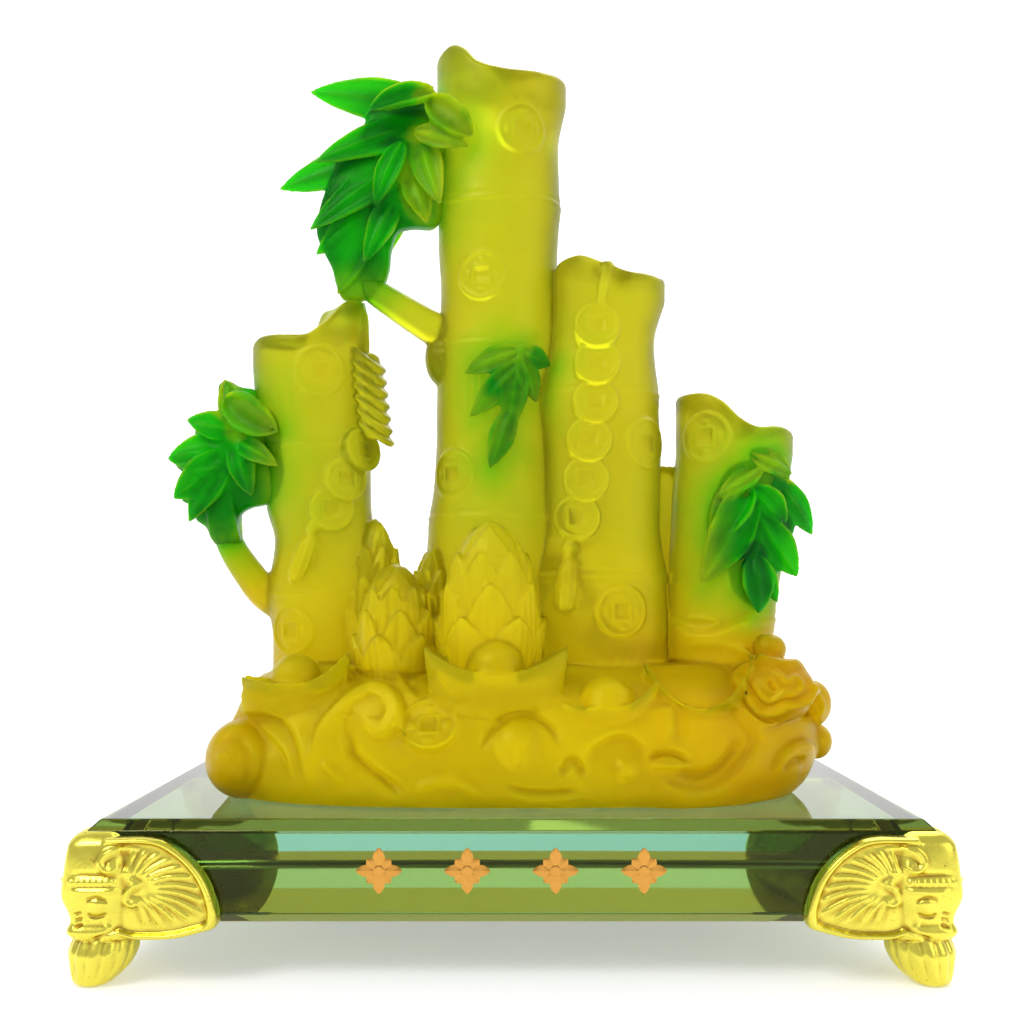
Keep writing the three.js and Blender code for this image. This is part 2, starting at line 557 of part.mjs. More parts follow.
// Bamboo shoot wrapped in tiers of pointed sheaths, each stepping in behind the tips below
function shoot({ foot: [x, y, z], radius, top, tiers }) {
  const height = top - z;
  const sides = 2 * SHEATHS_PER_TIER;
  const ring = (reachAt, shareAt) => Array.from({ length: sides }, (_, k) => {
    const angle = (2 * Math.PI * (k + 0.5)) / sides;
    const share = shareAt(k);
    const reach = reachAt(share);
    return V(x + reach * Math.cos(angle), y + reach * Math.sin(angle), z + share * height);
  });
  const skin = (share) => radius * between(SHOOT_PROFILE, share);
  const rings = [ring(skin, () => 0)];
  const rise = SHEATH_TOP / tiers;
  for (let tier = 0; tier < tiers; tier++) {
    const isTip = (k) => (k + tier) % 2 === 0;
    const lip = (k) => rise * (tier + (isTip(k) ? 1.3 : 0.62));
    rings.push(ring((share) => skin(share) + SHEATH_STEP, (k) => lip(k) - 0.4 * rise));
    rings.push(ring((share) => skin(share) + 0.6 * SHEATH_STEP, lip));
    rings.push(ring((share) => skin(share) - 0.3 * SHEATH_STEP, (k) => lip(k) + 0.02));
  }
  rings.push(ring(skin, () => 0.96));
  return loft(rings, undefined, V(x, y, top));
}

// Open flower: two rings of lobed petals round a heart
function flower({ middle, facing, sides, rings, heart }) {
  const out = V(...facing).normalize();
  const side = UP.clone().cross(out).normalize();
  const lift = out.clone().cross(side);
  const at = (across, along, height) => V(...middle).addScaledVector(side, across)
    .addScaledVector(lift, along).addScaledVector(out, height);
  const petalRing = ([reach, height, petals, notch, turn]) => {
    return Array.from({ length: sides }, (_, k) => {
      const angle = (2 * Math.PI * k) / sides;
      const lobe = Math.abs(Math.sin(0.5 * petals * (angle + radians(turn))));
      const radius = reach * (1 - notch * (1 - lobe));
      return at(radius * Math.cos(angle), radius * Math.sin(angle), height + 4 * notch * lobe);
    });
  };
  return loft(rings.map(petalRing), undefined, at(0, 0, heart));
}

// Whole casting, with all that is moulded on it
function casting() {
  const pieces = [loft(MOUND.map(moundRing))];
  pieces.push(...Object.values(STALKS).map((spec) => stalk(spec)));
  pieces.push(...Object.values(BRANCHES).map(bar));
  pieces.push(...STALK_COINS.map(stalkCoin), ...middleString(), ...leftString());
  pieces.push(...INGOTS.flatMap(ingot), ...[SWELLING, ...BALLS].map(ball));
  pieces.push(...WAVES.map((spec) => wave(spec)), ...BACK_WAVES.map((spec) => wave(spec, true)));
  pieces.push(...SHOOTS.map(shoot), flower(FLOWER));
  return mainBody(union(pieces));
}

// Leaves fused to their twig, cut clear of the stalks and branches they lie on
function spray(twig, leaves, cores, clearance) {
  const stem = new THREE.CatmullRomCurve3(twig.points.map((point) => V(...point))).getPoints(24);
  const rooted = leaves.map((leaf) => {
    const away = (point) => point.distanceTo(V(...leaf.root));
    const nearest = stem.reduce((best, point) => (away(point) < away(best) ? point : best));
    return blade({ ...leaf, root: nearest.toArray() });
  });
  return mainBody(union([bar(twig), ...cores.map(bar), ...rooted]).subtract(clearance));
}

// Glass slab with every edge bevelled
function slab(grow = 0) {
  const ring = (z, inset) => {
    const [x, y] = [SLAB_WIDTH / 2 - inset + grow, SLAB_DEPTH / 2 - inset + grow];
    return [V(-x, -y, z), V(x, -y, z), V(x, y, z), V(-x, y, z)];
  };
  const [low, high] = [FOOT_HEIGHT - grow, SLAB_TOP + grow];
  const rings = [ring(low, SLAB_BEVEL), ring(low + SLAB_BEVEL, 0), ring(high - SLAB_BEVEL, 0),
    ring(high, SLAB_BEVEL)];
  return loft(rings);
}

// Elephant ear on the front face: a fan with a raised rim and flutes from its hub
function ear(height) {
  const [hubAlong, hubZ] = EAR_HUB;
  const outline = (share, outAt) => EAR_OUTLINE.map(([along, z], k) => {
    const rise = share * (z > hubZ ? height : 1) * (z - hubZ);
    return V(hubAlong + share * (along - hubAlong), -outAt(k), hubZ + rise);
  });
  const rings = [
    outline(1, () => -1),
    outline(1, () => EAR_THICKNESS - 0.4),
    outline(0.93, () => EAR_THICKNESS + EAR_RIM),
    outline(0.85, (k) => EAR_THICKNESS + (k % 2 ? EAR_FLUTE : -0.5 * EAR_FLUTE)),
  ];
  return loft(rings, undefined, V(hubAlong, -EAR_THICKNESS - EAR_RIM, hubZ));
}

// One foot at the slab's front left corner, with both ears, head, trunk and shelf
function foot(clearance) {
  const square = (low, high, z) => Array.from({ length: HEAD_SIDES }, (_, k) => {
    const angle = (2 * Math.PI * (k + 0.5)) / HEAD_SIDES;
    const bend = (value) => Math.sign(value) * Math.abs(value) ** 0.5;
    const [middle, half] = [(low + high) / 2, (high - low) / 2];
    return V(middle + half * bend(Math.cos(angle)), middle + half * bend(Math.sin(angle)), z);
  });
  const head = loft(HEAD_LEVELS.map((level) => square(level.out, level.in, level.z)));
  const trunk = loft(TRUNK_LEVELS.map(({ z, middle, radius }) => {
    return Array.from({ length: TRUNK_SIDES }, (_, k) => {
      const angle = (2 * Math.PI * k) / TRUNK_SIDES;
      const reach = radius * (k % 2 ? 1 : TRUNK_CREASE);
      return V(middle + reach * Math.cos(angle), middle + reach * Math.sin(angle), z);
    });
  }));
  const shelf = new THREE.BoxGeometry(SHELF.reach, SHELF.reach, FOOT_HEIGHT - SHELF.z);
  shelf.translate(SHELF.reach / 2, SHELF.reach / 2, (FOOT_HEIGHT + SHELF.z) / 2);
  const eye = new THREE.SphereGeometry(1, ...EYE.sides);
  eye.scale(...EYE.size);
  eye.translate(...EYE.at);
  const swap = new THREE.Matrix4().makeBasis(V(0, 1, 0), V(1, 0, 0), UP).elements;
  const oneSide = ear(1).add(solid(eye));
  const otherSide = ear(SIDE_EAR_HEIGHT).add(solid(eye)).transform(swap);
  const corner = new THREE.Matrix4().makeTranslation(-SLAB_WIDTH / 2, -SLAB_DEPTH / 2, 0);
  const whole = union([head, trunk, solid(shelf), oneSide, otherSide]);
  return mainBody(whole.transform(corner.elements).subtract(clearance));
}

// Named mesh of a solid
function mesh(name, manifold, material) {
  const { vertProperties, triVerts } = manifold.getMesh();
  const geometry = new THREE.BufferGeometry();
  geometry.setAttribute('position', new THREE.BufferAttribute(vertProperties, 3));
  geometry.setIndex(new THREE.BufferAttribute(triVerts, 1));
  geometry.computeVertexNormals();
  const result = new THREE.Mesh(geometry, material);
  result.name = name;
  return result;
}

const amber = new THREE.MeshStandardMaterial({ color: 0xc8b41c, roughness: 0.4, metalness: 0 });
const green = new THREE.MeshStandardMaterial({ color: 0x0fa02a, roughness: 0.4, metalness: 0 });
const glass = new THREE.MeshStandardMaterial({ color: 0x8fbfa4, roughness: 0.05, metalness: 0 });
const gold = new THREE.MeshStandardMaterial({ color: 0xe0cf52, roughness: 0.25, metalness: 1 });

const ornament = new THREE.Group();
ornament.position.z = FOOT_DROP;
ornament.add(mesh('bamboo_casting', casting(), amber));

const growth = union([
  ...Object.values(STALKS).map((spec) => stalk(spec, GAP)),
  ...Object.values(BRANCHES).map((spec) => bar({ ...spec, grow: GAP })),
]);
const sprays = {
  leaf_spray_top: [TOP_TWIG, TOP_LEAVES, [TOP_CORE]],
  leaf_spray_left: [LEFT_TWIG, LEFT_LEAVES, [LEFT_CORE]],
  leaf_spray_front: [FRONT_TWIG, FRONT_LEAVES, []],
  leaf_spray_right: [RIGHT_TWIG, RIGHT_LEAVES, []],
};
Object.entries(sprays).forEach(([name, [twig, leaves, cores]]) => {
  ornament.add(mesh(name, spray(twig, leaves, cores, growth), green));
});

ornament.add(mesh('glass_slab', slab(), glass));

const frontLeft = foot(slab(GAP));
const corners = {
  front_left: [1, 1], front_right: [-1, 1], back_left: [1, -1], back_right: [-1, -1],
};
Object.entries(corners).forEach(([name, [alongX, alongY]]) => {
  const turned = frontLeft.scale([alongX, alongY, 1]);
  ornament.add(mesh(`foot_${name}`, turned, gold));
});

export default ornament;
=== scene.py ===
# Looks of the bamboo ornament: frosted resin casting, green leaf sprays, glass slab and
# gilt elephant head feet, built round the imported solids.
# Tables of shapes are in millimetres, and MM turns them to metres. Their heights count from
# BASE_LEVEL above the floor, which is as far below them as the feet's trunks reach.

import bpy
import numpy as np
from mathutils import Matrix, Vector
from mathutils.kdtree import KDTree


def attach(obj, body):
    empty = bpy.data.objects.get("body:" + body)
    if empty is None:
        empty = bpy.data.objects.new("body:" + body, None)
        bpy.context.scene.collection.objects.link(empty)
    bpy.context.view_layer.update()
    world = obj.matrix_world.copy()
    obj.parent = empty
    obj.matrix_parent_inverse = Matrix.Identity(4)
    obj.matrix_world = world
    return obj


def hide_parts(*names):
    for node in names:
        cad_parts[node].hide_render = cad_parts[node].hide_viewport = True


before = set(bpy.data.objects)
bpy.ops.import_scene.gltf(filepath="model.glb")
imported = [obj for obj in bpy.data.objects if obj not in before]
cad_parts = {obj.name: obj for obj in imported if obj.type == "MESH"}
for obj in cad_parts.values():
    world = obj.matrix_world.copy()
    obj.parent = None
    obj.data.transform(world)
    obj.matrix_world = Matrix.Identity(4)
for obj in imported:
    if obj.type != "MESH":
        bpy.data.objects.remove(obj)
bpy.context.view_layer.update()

MM = 0.001
BASE_LEVEL = 1.5
FRONT = np.array([0.0, -1.0, 0.0])
UP = np.array([0.0, 0.0, 1.0])
FRONT_ANGLE = -90

# Size of the remeshing grid in metres and the most triangles, piece by piece
SKIN = {
    "casting": {"voxel": 0.00042, "triangles": 197000},
    "spray": {"voxel": 0.0003, "triangles": 90000},
    "foot": {"voxel": 0.0003, "triangles": 50000},
}
# How finely each kind of body is drawn: points round it and rows along it, or one of them
DETAIL = {
    "bar": (20, 40), "branch": (32, 60), "mound": (180, 24), "tassel": (48, 40),
    "shoot": (48, 40), "sheath": (21, 30), "blade": (19, 30), "trunk": (96, 30),
    "ball": (28, 16), "coin": 56, "edge_coin": 48, "knot": 32, "petal": 14, "head": 64,
}
# Rounded end of a bar, as shares of its radius: how far out its last ring lies, that ring's
# radius, and how far out the tip lies
BAR_END = {"inset": 0.35, "radius": 0.7, "tip": 0.5}
POLE_GAP = 0.08
# Least distance between two points of a curve and least length of a vector
LEAST_GAP = 1e-4
LEAST_LENGTH = 1e-9

# Camera: where it stands in metres, its lens in millimetres and its upward shift
CAMERA_PLACE = (0.0, -0.2615, 0.0757)
CAMERA_LENS = 40.32
CAMERA_SHIFT = 0.0771
CAMERA_CLIP = 0.01

# Stalks: the middle and half width at each height, the joints' heights, and the rim's
# height from its left side, -1, to its right side, 1
STALK_FLATNESS = 0.85
STALKS = {
    "left": {
        "y": 2,
        "levels": [[50, -42.3, 12.6], [63, -42.4, 12.3], [73.3, -43, 12.9], [85.5, -42.8, 11.5],
                   [92.8, -44.2, 11.9], [106.6, -45.3, 12.7], [125, -46.4, 12.9]],
        "ridges": [73.3, 106.6],
        "rim": [[-1, 130.6], [-0.8, 131.4], [0, 131], [0.4, 134], [0.8, 139.4], [1, 140.4]],
    },
    "tall": {
        "y": 4,
        "levels": [[50, -3.5, 17], [80, -3.5, 16.4], [90.6, -3.6, 15.4], [100, -3.8, 14.1],
                   [111, -3.8, 13.6], [129.5, -3.3, 13.8], [143, -3, 13.4], [152, -3.2, 13.7],
                   [162, -3, 14], [176, -3, 13.7], [186, -2.4, 14.9]],
        "ridges": [90.6, 129.5, 162],
        "rim": [[-1, 196.6], [-0.8, 197.2], [-0.6, 195.6], [-0.4, 192.3], [-0.15, 190.7],
                [0.18, 189.9], [0.67, 190.3], [1, 191.4]],
    },
    "middle": {
        "y": -2,
        "levels": [[50, 20.4, 14.6], [67, 20.4, 14.6], [77.4, 19.7, 15], [90, 20.4, 12.9],
                   [105, 20.7, 12.9], [117.8, 19.8, 13.2], [131, 20.8, 11.4], [139, 22.2, 12.3]],
        "ridges": [77.4, 117.8],
        "rim": [[-1, 148], [-0.7, 148.2], [-0.2, 146], [0.4, 144], [0.9, 144], [1, 144.6]],
    },
    "right": {
        "y": 0,
        "levels": [[50, 46.7, 11.8], [67.5, 47.5, 12.1], [84.7, 49, 12.9], [96, 49.6, 13],
                   [105, 50.6, 13.2]],
        "ridges": [67.5],
        "rim": [[-1, 118.5], [-0.7, 118.2], [-0.4, 116.5], [0, 111.9], [0.3, 110.4],
                [0.7, 110.8], [1, 110.2]],
    },
    "slim": {
        "y": 8,
        "levels": [[50, 37, 6.4], [78, 37.4, 6.2], [97, 37.6, 6]],
        "ridges": [78],
        "rim": [[-1, 103.6], [1, 102.4]],
    },
}
RIM_PROFILE = [[1, -2.6], [1.005, -1.3], [0.985, -0.5], [0.93, 0], [0.85, -0.25],
               [0.74, -0.8], [0.55, -1.5], [0.3, -2]]
BELOW_RIM = 3.4
DISH_DEPTH = 2.2
JOINT_SWELL = 0.4
JOINT_SPREAD = 2.2
STALK_ROW = 0.6
STALK_SIDES = 72
# Lines cut above and below each joint: offset and depth of each, their blur, how they wander
# up and down, and how far from the joint they're felt
JOINT_LINES = [[-0.9, 0.16], [0.9, 0.24]]
JOINT_LINE = {"blur": 0.5, "wander": 0.35, "off": 2.2, "reach": 4}

# Side branches: points along the middle and the radius at each end
BRANCHES = {
    "left": {"points": [[-50, 1, 69.6], [-56.4, 1, 73.6], [-60.2, 0.4, 78.4], [-63.6, 0.4, 83.6],
                        [-66, 1.4, 89], [-66.6, 2.2, 93]], "radii": [4, 2.6]},
    "tall": {"points": [[-13, 2, 132], [-18, 1, 134.2], [-24.8, 0, 138.2], [-31, 0.4, 142.4],
                        [-34.6, 0.8, 145.6], [-36, 1, 148]], "radii": [4.2, 2.2]},
}

# Leaf outline as share of length and of width, and its height across from rib to rim
LEAF_OUTLINE = [[0, 0.3], [0.16, 0.78], [0.46, 1], [0.76, 0.66], [0.93, 0.28], [1, 0.05]]
LEAF_SECTION = [[0, 1.2], [0.1, 0.95], [0.4, 0.4], [0.7, 0.42], [0.9, 0.95], [1, 0.5]]
LEAF_BOW = 1.3
# Thickness at a leaf's tip and what is added towards its root, and how far its underside
# lies below its edge and how much more under its rib
LEAF_THIN = [0.35, 0.65]
LEAF_UNDER = [0.2, 0.75]
# Roots nearer to the twig than this are moved onto it
ROOT_REACH = 3.6
# The same for leaves folded into a cup
CUP_OUTLINE = [[0, 0.12], [0.12, 0.66], [0.4, 1], [0.7, 0.88], [0.9, 0.46], [1, 0.1]]
CUP_SECTION = [[0, -0.4], [0.35, -0.2], [0.6, 0.5], [0.8, 1.5], [0.92, 1.6], [1, 0.9]]

# Leaves: root, tip, greatest width and roll about the midrib in degrees
TOP_LEAVES = [
    [[-18.8, -1, 185.6], [-45.9, 0, 187.9], 9.4, -14],
    [[-17, -4, 186], [-31.8, -6, 181.4], 6.8, 24],
    [[-18.6, -5.4, 183.8], [-8.6, -9.6, 174.2], 7.4, 4],
    [[-20.7, -2.4, 180.4], [-44.2, -4, 170.5], 8.6, 14],
    [[-27.3, 0, 174], [-53.4, 2.4, 166.6], 8.4, -10],
    [[-23.1, -2, 173.4], [-45.4, -3.6, 155.4], 9, 16],
    [[-26, -2.4, 168.6], [-44.4, -1.6, 150.4], 8.4, -12],
    [[-26, -1.6, 166.4], [-39.6, -1.4, 141.4], 9, 20],
    [[-27.4, -3, 166], [-33.2, -4.6, 147.6], 6.4, -8],
    [[-21.6, -3.6, 177.3], [-15.8, -8, 159.7], 7.6, 14],
    [[-24.3, -3, 169.6], [-19, -5, 156.4], 7, -16],
    [[-24.6, -3.4, 175], [-30.6, -5.6, 160], 6, 10],
    [[-17, 2, 185], [-35.5, 7, 182.5], 6.8, 190],
    [[-20, 3, 178], [-41, 9, 176.5], 7.2, 168],
    [[-23, 2, 169], [-32, 8, 150], 7, 172],
    [[-17, 4, 180], [-14.5, 11, 166], 6.6, 184],
    [[-21.6, -4.4, 177.2], [-9.4, -8.6, 172.4], 5.2, 12],
]
LEFT_LEAVES = [
    [[-60.4, -3, 110], [-64.8, -3, 122], 6.4, 12],
    [[-60.6, -4, 110.4], [-73, -4, 112.6], 6.6, -14],
    [[-61, -3.6, 104.4], [-77.6, -3, 104], 9.4, 12],
    [[-61, -4, 103.4], [-76, -4, 95], 9, -12],
    [[-61, -3.6, 103], [-72.8, -3, 89.8], 8, 16],
    [[-61, -2.6, 102], [-67.4, -1, 84.8], 7, -10],
    [[-64, -5, 117.2], [-51.4, -9.6, 109.2], 8.6, 14],
    [[-60, -5, 106.6], [-51.4, -9.4, 101.6], 5.2, -12],
    [[-60.2, -4.6, 107.8], [-57.8, -6.6, 95.2], 6.8, 10],
    [[-61, 1, 107], [-73, 6, 107], 6.8, 186],
    [[-61, 1, 105], [-71, 6, 96], 6.6, 172],
    [[-61, 2, 108], [-58.5, 9.5, 119], 6.2, 182],
]
FRONT_LEAVES = [
    [[3, -8.8, 127], [-10.6, -7.4, 122.4], 6, 10],
    [[1.6, -8.8, 124.6], [-9.4, -8.2, 112.6], 6.2, -10],
    [[2, -8.8, 124], [-0.6, -8.6, 109.4], 6.4, 8],
    [[-0.8, -8.8, 114.4], [-5, -8.4, 101.2], 6, -8],
    [[2.6, -8.8, 127], [8.6, -8.4, 123.8], 5.2, 10],
    [[2.2, -8.8, 125.6], [5.4, -8.6, 115.6], 5.2, -8],
]
RIGHT_LEAVES = [
    [[52, -10.4, 104.4], [62.4, -5.6, 100.3], 5.6, -10],
    [[53.2, -10.4, 104], [44.6, -11.2, 94.6], 5, 10],
    [[51, -10.6, 96.8], [44.2, -11.2, 85.4], 7, 10],
    [[51, -10.4, 97.6], [60.4, -8.6, 88.8], 8, 12],
    [[55, -7, 98], [67.6, -3.4, 86.8], 6.6, -10],
    [[52.4, -10.2, 95], [41.4, -11.2, 76], 10.4, -8],
    [[54, -9.8, 90.4], [63.4, -6.6, 77.4], 8, 10],
    [[50.8, -10.6, 82.8], [54, -11, 69.2], 7.4, -10],
    [[54, -9.8, 82.4], [58.6, -8.6, 71.6], 4.8, 10],
    [[57, -2, 96], [64.4, 2.6, 87.4], 4.6, 196],
]

# Sprays: the twig's points and end radii, the leaves, which are cups, the shares of yellow
# and of dark green in some of them, where the green fades to yellow (the axis, where it
# starts and ends, and how far) and where it darkens outwards (the axis, where it starts and
# ends), and the folded mass of resin behind them as an outline of x and height, its middle,
# its depth there, the slope of that depth along x and half its thickness
SPRAYS = {
    "leaf_spray_top": {
        "twig": [[[-29.6, -1.2, 160.4], [-26, -0.8, 165], [-22, -0.4, 173], [-19, 0, 181],
                  [-15.4, 0.6, 187]], [2.2, 1.3]],
        "leaves": TOP_LEAVES,
        "cups": [1, 2],
        "pale": {2: 0.3, 9: 0.3, 10: 0.5, 16: 0.9},
        "deep": {0: 0.76, 4: 0.76},
        "fades": [[0, -23, -11, 0.9], [2, 150, 138, 0.5]],
        "dark": [0, -30, -48],
        "outline": [[-18.5, 185], [-25.5, 186], [-32, 184], [-34.4, 179], [-38.6, 174.4],
                    [-41, 169], [-43, 164], [-44, 160.5], [-44.5, 155.5], [-43, 151.5],
                    [-41, 147.5], [-40, 143.5], [-38.5, 140.6], [-33.4, 140.6], [-29.6, 143.4],
                    [-28, 147.5], [-27.6, 151.5], [-26, 156], [-22.5, 157], [-18, 157],
                    [-16, 159.5], [-15.5, 167], [-15, 174], [-16.5, 180.5]],
        "middle": [-29.5, 164],
        "depth": [0.6, 0],
        "thick": 3.4,
    },
    "leaf_spray_left": {
        "twig": [[[-66.4, -1.2, 95.8], [-65.4, -2, 101], [-62.4, -3, 106.4], [-60.8, -4, 112]],
                 [2.2, 1.4]],
        "leaves": LEFT_LEAVES,
        "cups": [6],
        "pale": {0: 0.3, 6: 0.2},
        "deep": {},
        "fades": [[0, -60, -49, 0.85], [2, 92, 83, 0.6]],
        "dark": [0, -66, -80],
        "outline": [[-58.5, 120], [-61.5, 120.5], [-64.5, 122], [-66.5, 121], [-66, 117.5],
                    [-65.5, 114], [-69, 112.5], [-72, 111], [-72, 109.5], [-69.5, 107],
                    [-73.5, 105.5], [-77, 104], [-76.5, 102.5], [-74, 100], [-75.5, 96.5],
                    [-75, 94.5], [-72, 93.5], [-72, 90.5], [-69.5, 88.5], [-68, 85.5],
                    [-64.5, 84], [-61.5, 85.5], [-62, 88], [-61.5, 91.5], [-59, 93],
                    [-56.5, 93.5], [-52.5, 95], [-50.5, 100.5], [-51, 106], [-51, 110],
                    [-52.5, 114], [-56.5, 117.5]],
        "middle": [-63.5, 103],
        "depth": [-0.6, -0.12],
        "thick": 3.6,
    },
    "leaf_spray_front": {
        "twig": [[[2.3, -8.6, 128], [1.4, -8.7, 122.6], [-0.4, -8.6, 113.4]], [1.4, 1]],
        "leaves": FRONT_LEAVES,
        "cups": [],
        "pale": {0: 0.5, 1: 0.3, 2: 0.3, 3: 0.25, 4: 0.1, 5: 0.35},
        "deep": {},
        "fades": [],
        "dark": [0, 4, 14],
    },
    "leaf_spray_right": {
        "twig": [[[59.4, -6, 97.4], [55.4, -9, 101.6], [52.4, -10, 96.6],
                  [54.6, -9.2, 88], [52.6, -10.2, 81]], [1.2, 1]],
        "leaves": RIGHT_LEAVES,
        "cups": [2],
        "pale": {0: 0.5, 1: 0.5},
        "deep": {4: 0.55, 6: 0.3, 7: 0.75},
        "fades": [[0, 50, 38, 0.9]],
        "dark": [0, 56, 66],
        "outline": [[54.5, 104], [59.5, 104], [62, 100.5], [60.5, 98], [60, 95], [61.6, 91.6],
                    [63, 88.6], [62.4, 86.6], [61, 85], [60, 83.4], [60.4, 80.8], [59.8, 79],
                    [57.4, 76.6], [56, 73], [54.2, 70.6], [51, 72], [48.5, 75], [47.5, 79],
                    [44.5, 82], [43, 86.5], [43.5, 93], [45.5, 97.5], [48, 101.5]],
        "middle": [54, 87],
        "depth": [-7.2, 0.22],
        "thick": 2.2,
    },
}
PAD_EDGE = 0.9
PAD_RINGS = 9
PAD_TURN = 0.97
PAD_SIDES = 240
TWIG_STEPS = 40
SPRAY_SOFTENING = 8
# How far a leaf's tip darkens, how wide of a leaf its own colour reaches and its blur, the
# share of dark in the outermost resin, and the share of dark that yellow takes away
LEAF_SHADE = {"tip": 4.2, "margin": 0.8, "blur": 1.6, "outer": 0.85, "cleared": 0.8}


def smooth_step(x):
    """Ease from 0 to 1."""
    x = np.clip(x, 0, 1)
    return x * x * (3 - 2 * x)


def within(value, low, high, low_blur, high_blur=None):
    """1 between two limits and 0 outside them, eased inside each limit."""
    start = smooth_step((value - low) / low_blur)
    return start * smooth_step((high - value) / (high_blur or low_blur))


def between(place, table, column=1):
    """Value at each place in a table of rows, eased through the rows without overshoot."""
    table = np.asarray(table, float)
    x, y = table[:, 0], table[:, column]
    width = np.diff(x)
    slope = np.diff(y) / width
    tangent = np.zeros(len(y))
    tangent[0], tangent[-1] = slope[0], slope[-1]
    for i in range(1, len(y) - 1):
        if slope[i - 1] * slope[i] > 0:
            tangent[i] = 2 / (1 / slope[i - 1] + 1 / slope[i])
    place = np.clip(place, x[0], x[-1])
    i = np.clip(np.searchsorted(x, place, side="right") - 1, 0, len(width) - 1)
    t = (place - x[i]) / width[i]
    start, end = (1 + 2 * t) * (1 - t) ** 2, t * t * (3 - 2 * t)
    lean = t * (1 - t) ** 2 * tangent[i] - t * t * (1 - t) * tangent[i + 1]
    return start * y[i] + end * y[i + 1] + lean * width[i]


def smooth_curve(points, count):
    """Points spaced along a smooth curve through the given ones."""
    p = np.asarray(points, float)
    p = np.vstack([2 * p[0] - p[1], p, 2 * p[-1] - p[-2]])
    gap = np.maximum(np.linalg.norm(np.diff(p, axis=0), axis=1) ** 0.5, LEAST_GAP)
    spans = len(p) - 3
    t = np.linspace(0, spans, count)
    i = np.minimum(t.astype(int), spans - 1)
    t = (t - i)[:, None]
    a, b, c, d = p[i], p[i + 1], p[i + 2], p[i + 3]
    g0, g1, g2 = gap[i][:, None], gap[i + 1][:, None], gap[i + 2][:, None]
    start = g1 * ((b - a) / g0 - (c - a) / (g0 + g1) + (c - b) / g1)
    end = g1 * ((c - b) / g1 - (d - b) / (g1 + g2) + (d - c) / g2)
    return ((1 + 2 * t) * (1 - t) ** 2 * b + t * (1 - t) ** 2 * start
            + t * t * (3 - 2 * t) * c - t * t * (1 - t) * end)


def unit(vector):
    """Vectors of length one."""
    vector = np.asarray(vector, float)
    length = np.linalg.norm(vector, axis=-1, keepdims=True)
    return vector / np.maximum(length, LEAST_LENGTH)


def circle(count):
    """Angles all the way round, with their cosines and sines."""
    angle = np.linspace(0, 2 * np.pi, count, endpoint=False)
    return angle, np.cos(angle), np.sin(angle)


def ring(x, y, z):
    """Points from three coordinates, each a row of numbers or one number for all."""
    return np.column_stack(np.broadcast_arrays(x, y, z))


class Shape:
    """Closed bodies that overlap, gathered to be joined under one skin."""

    def __init__(self):
        self.points = []
        self.faces = []
        self.count = 0

    def add(self, body):
        points, faces = body
        self.points.append(points)
        for group in faces:
            self.faces += (group + self.count).tolist()
        self.count += len(points)

    def mesh(self, name):
        mesh = bpy.data.meshes.new(name)
        points = np.vstack(self.points) + [0, 0, BASE_LEVEL]
        mesh.from_pydata((points * MM).tolist(), [], self.faces)
        return mesh


def loft(rings, tips=None):
    """Closed body through rings of points, each end closed on a tip or its ring's middle."""
    rings = np.asarray(rings, float)
    count, sides = rings.shape[:2]
    start, end = tips if tips is not None else (rings[0].mean(0), rings[-1].mean(0))
    points = np.vstack([rings.reshape(-1, 3), [start], [end]])
    here = np.arange(sides)
    after = (here + 1) % sides
    low = (np.arange(count - 1) * sides)[:, None]
    quads = np.stack([low + here, low + after, low + sides + after, low + sides + here], -1)
    top = (count - 1) * sides
    first, last = np.full(sides, count * sides), np.full(sides, count * sides + 1)
    closing = np.vstack([
        np.column_stack([after, here, first]),
        np.column_stack([top + here, top + after, last]),
    ])
    return points, [quads.reshape(-1, 4), closing]


def tube(points, radii, detail="bar"):
    """Tapered round bar along a smooth curve through the points, with rounded ends."""
    sides, steps = DETAIL[detail]
    middle = smooth_curve(points, steps)
    along = unit(np.gradient(middle, axis=0))
    out = unit(FRONT - along * (along @ FRONT)[:, None])
    side = np.cross(along, out)
    radius = np.linspace(radii[0], radii[-1], steps)
    _, cos, sin = circle(sides)
    spread = cos[None, :, None] * out[:, None] + sin[None, :, None] * side[:, None]
    rings = middle[:, None] + radius[:, None, None] * spread
    caps, tips = [], []
    for end, sign in ((0, -1), (-1, 1)):
        cap = middle[end] + sign * BAR_END["inset"] * radii[end] * along[end]
        caps.append([cap + BAR_END["radius"] * radii[end] * spread[end]])
        tips.append(middle[end] + sign * BAR_END["tip"] * radii[end] * along[end])
    return loft(np.concatenate([caps[0], rings, caps[1]]), tips)


def facing(middle, out, tilt=0.0):
    """Frame with its own right, up and outward directions, leaning by a tilt in degrees."""
    side = unit(np.cross(UP, out))
    lean = np.radians(tilt)
    upward = np.cross(out, side)
    out = unit(np.cos(lean) * np.asarray(out) - np.sin(lean) * upward)
    middle = np.asarray(middle, float)
    return {"middle": middle, "side": side, "up": np.cross(out, side), "out": out}


def turned(place, profile, sides):
    """Body turned about a frame's outward axis, from rows of radius and height."""
    _, cos, sin = circle(sides)
    around = cos[:, None] * place["side"] + sin[:, None] * place["up"]
    rings = [place["middle"] + r * around + h * place["out"] for r, h in profile]
    return loft(rings)


def ball(x, y, z, wide, deep=0.0, tall=0.0):
    """Ball, or an egg where its depth and height differ from its width."""
    sides, rows = DETAIL["ball"]
    steps = np.linspace(POLE_GAP, np.pi - POLE_GAP, rows)
    profile = [[np.sin(t), -np.cos(t)] for t in steps]
    points, faces = turned(facing([0, 0, 0], FRONT), profile, sides)
    return points * [wide, deep or wide, tall or wide] + [x, y, z], faces


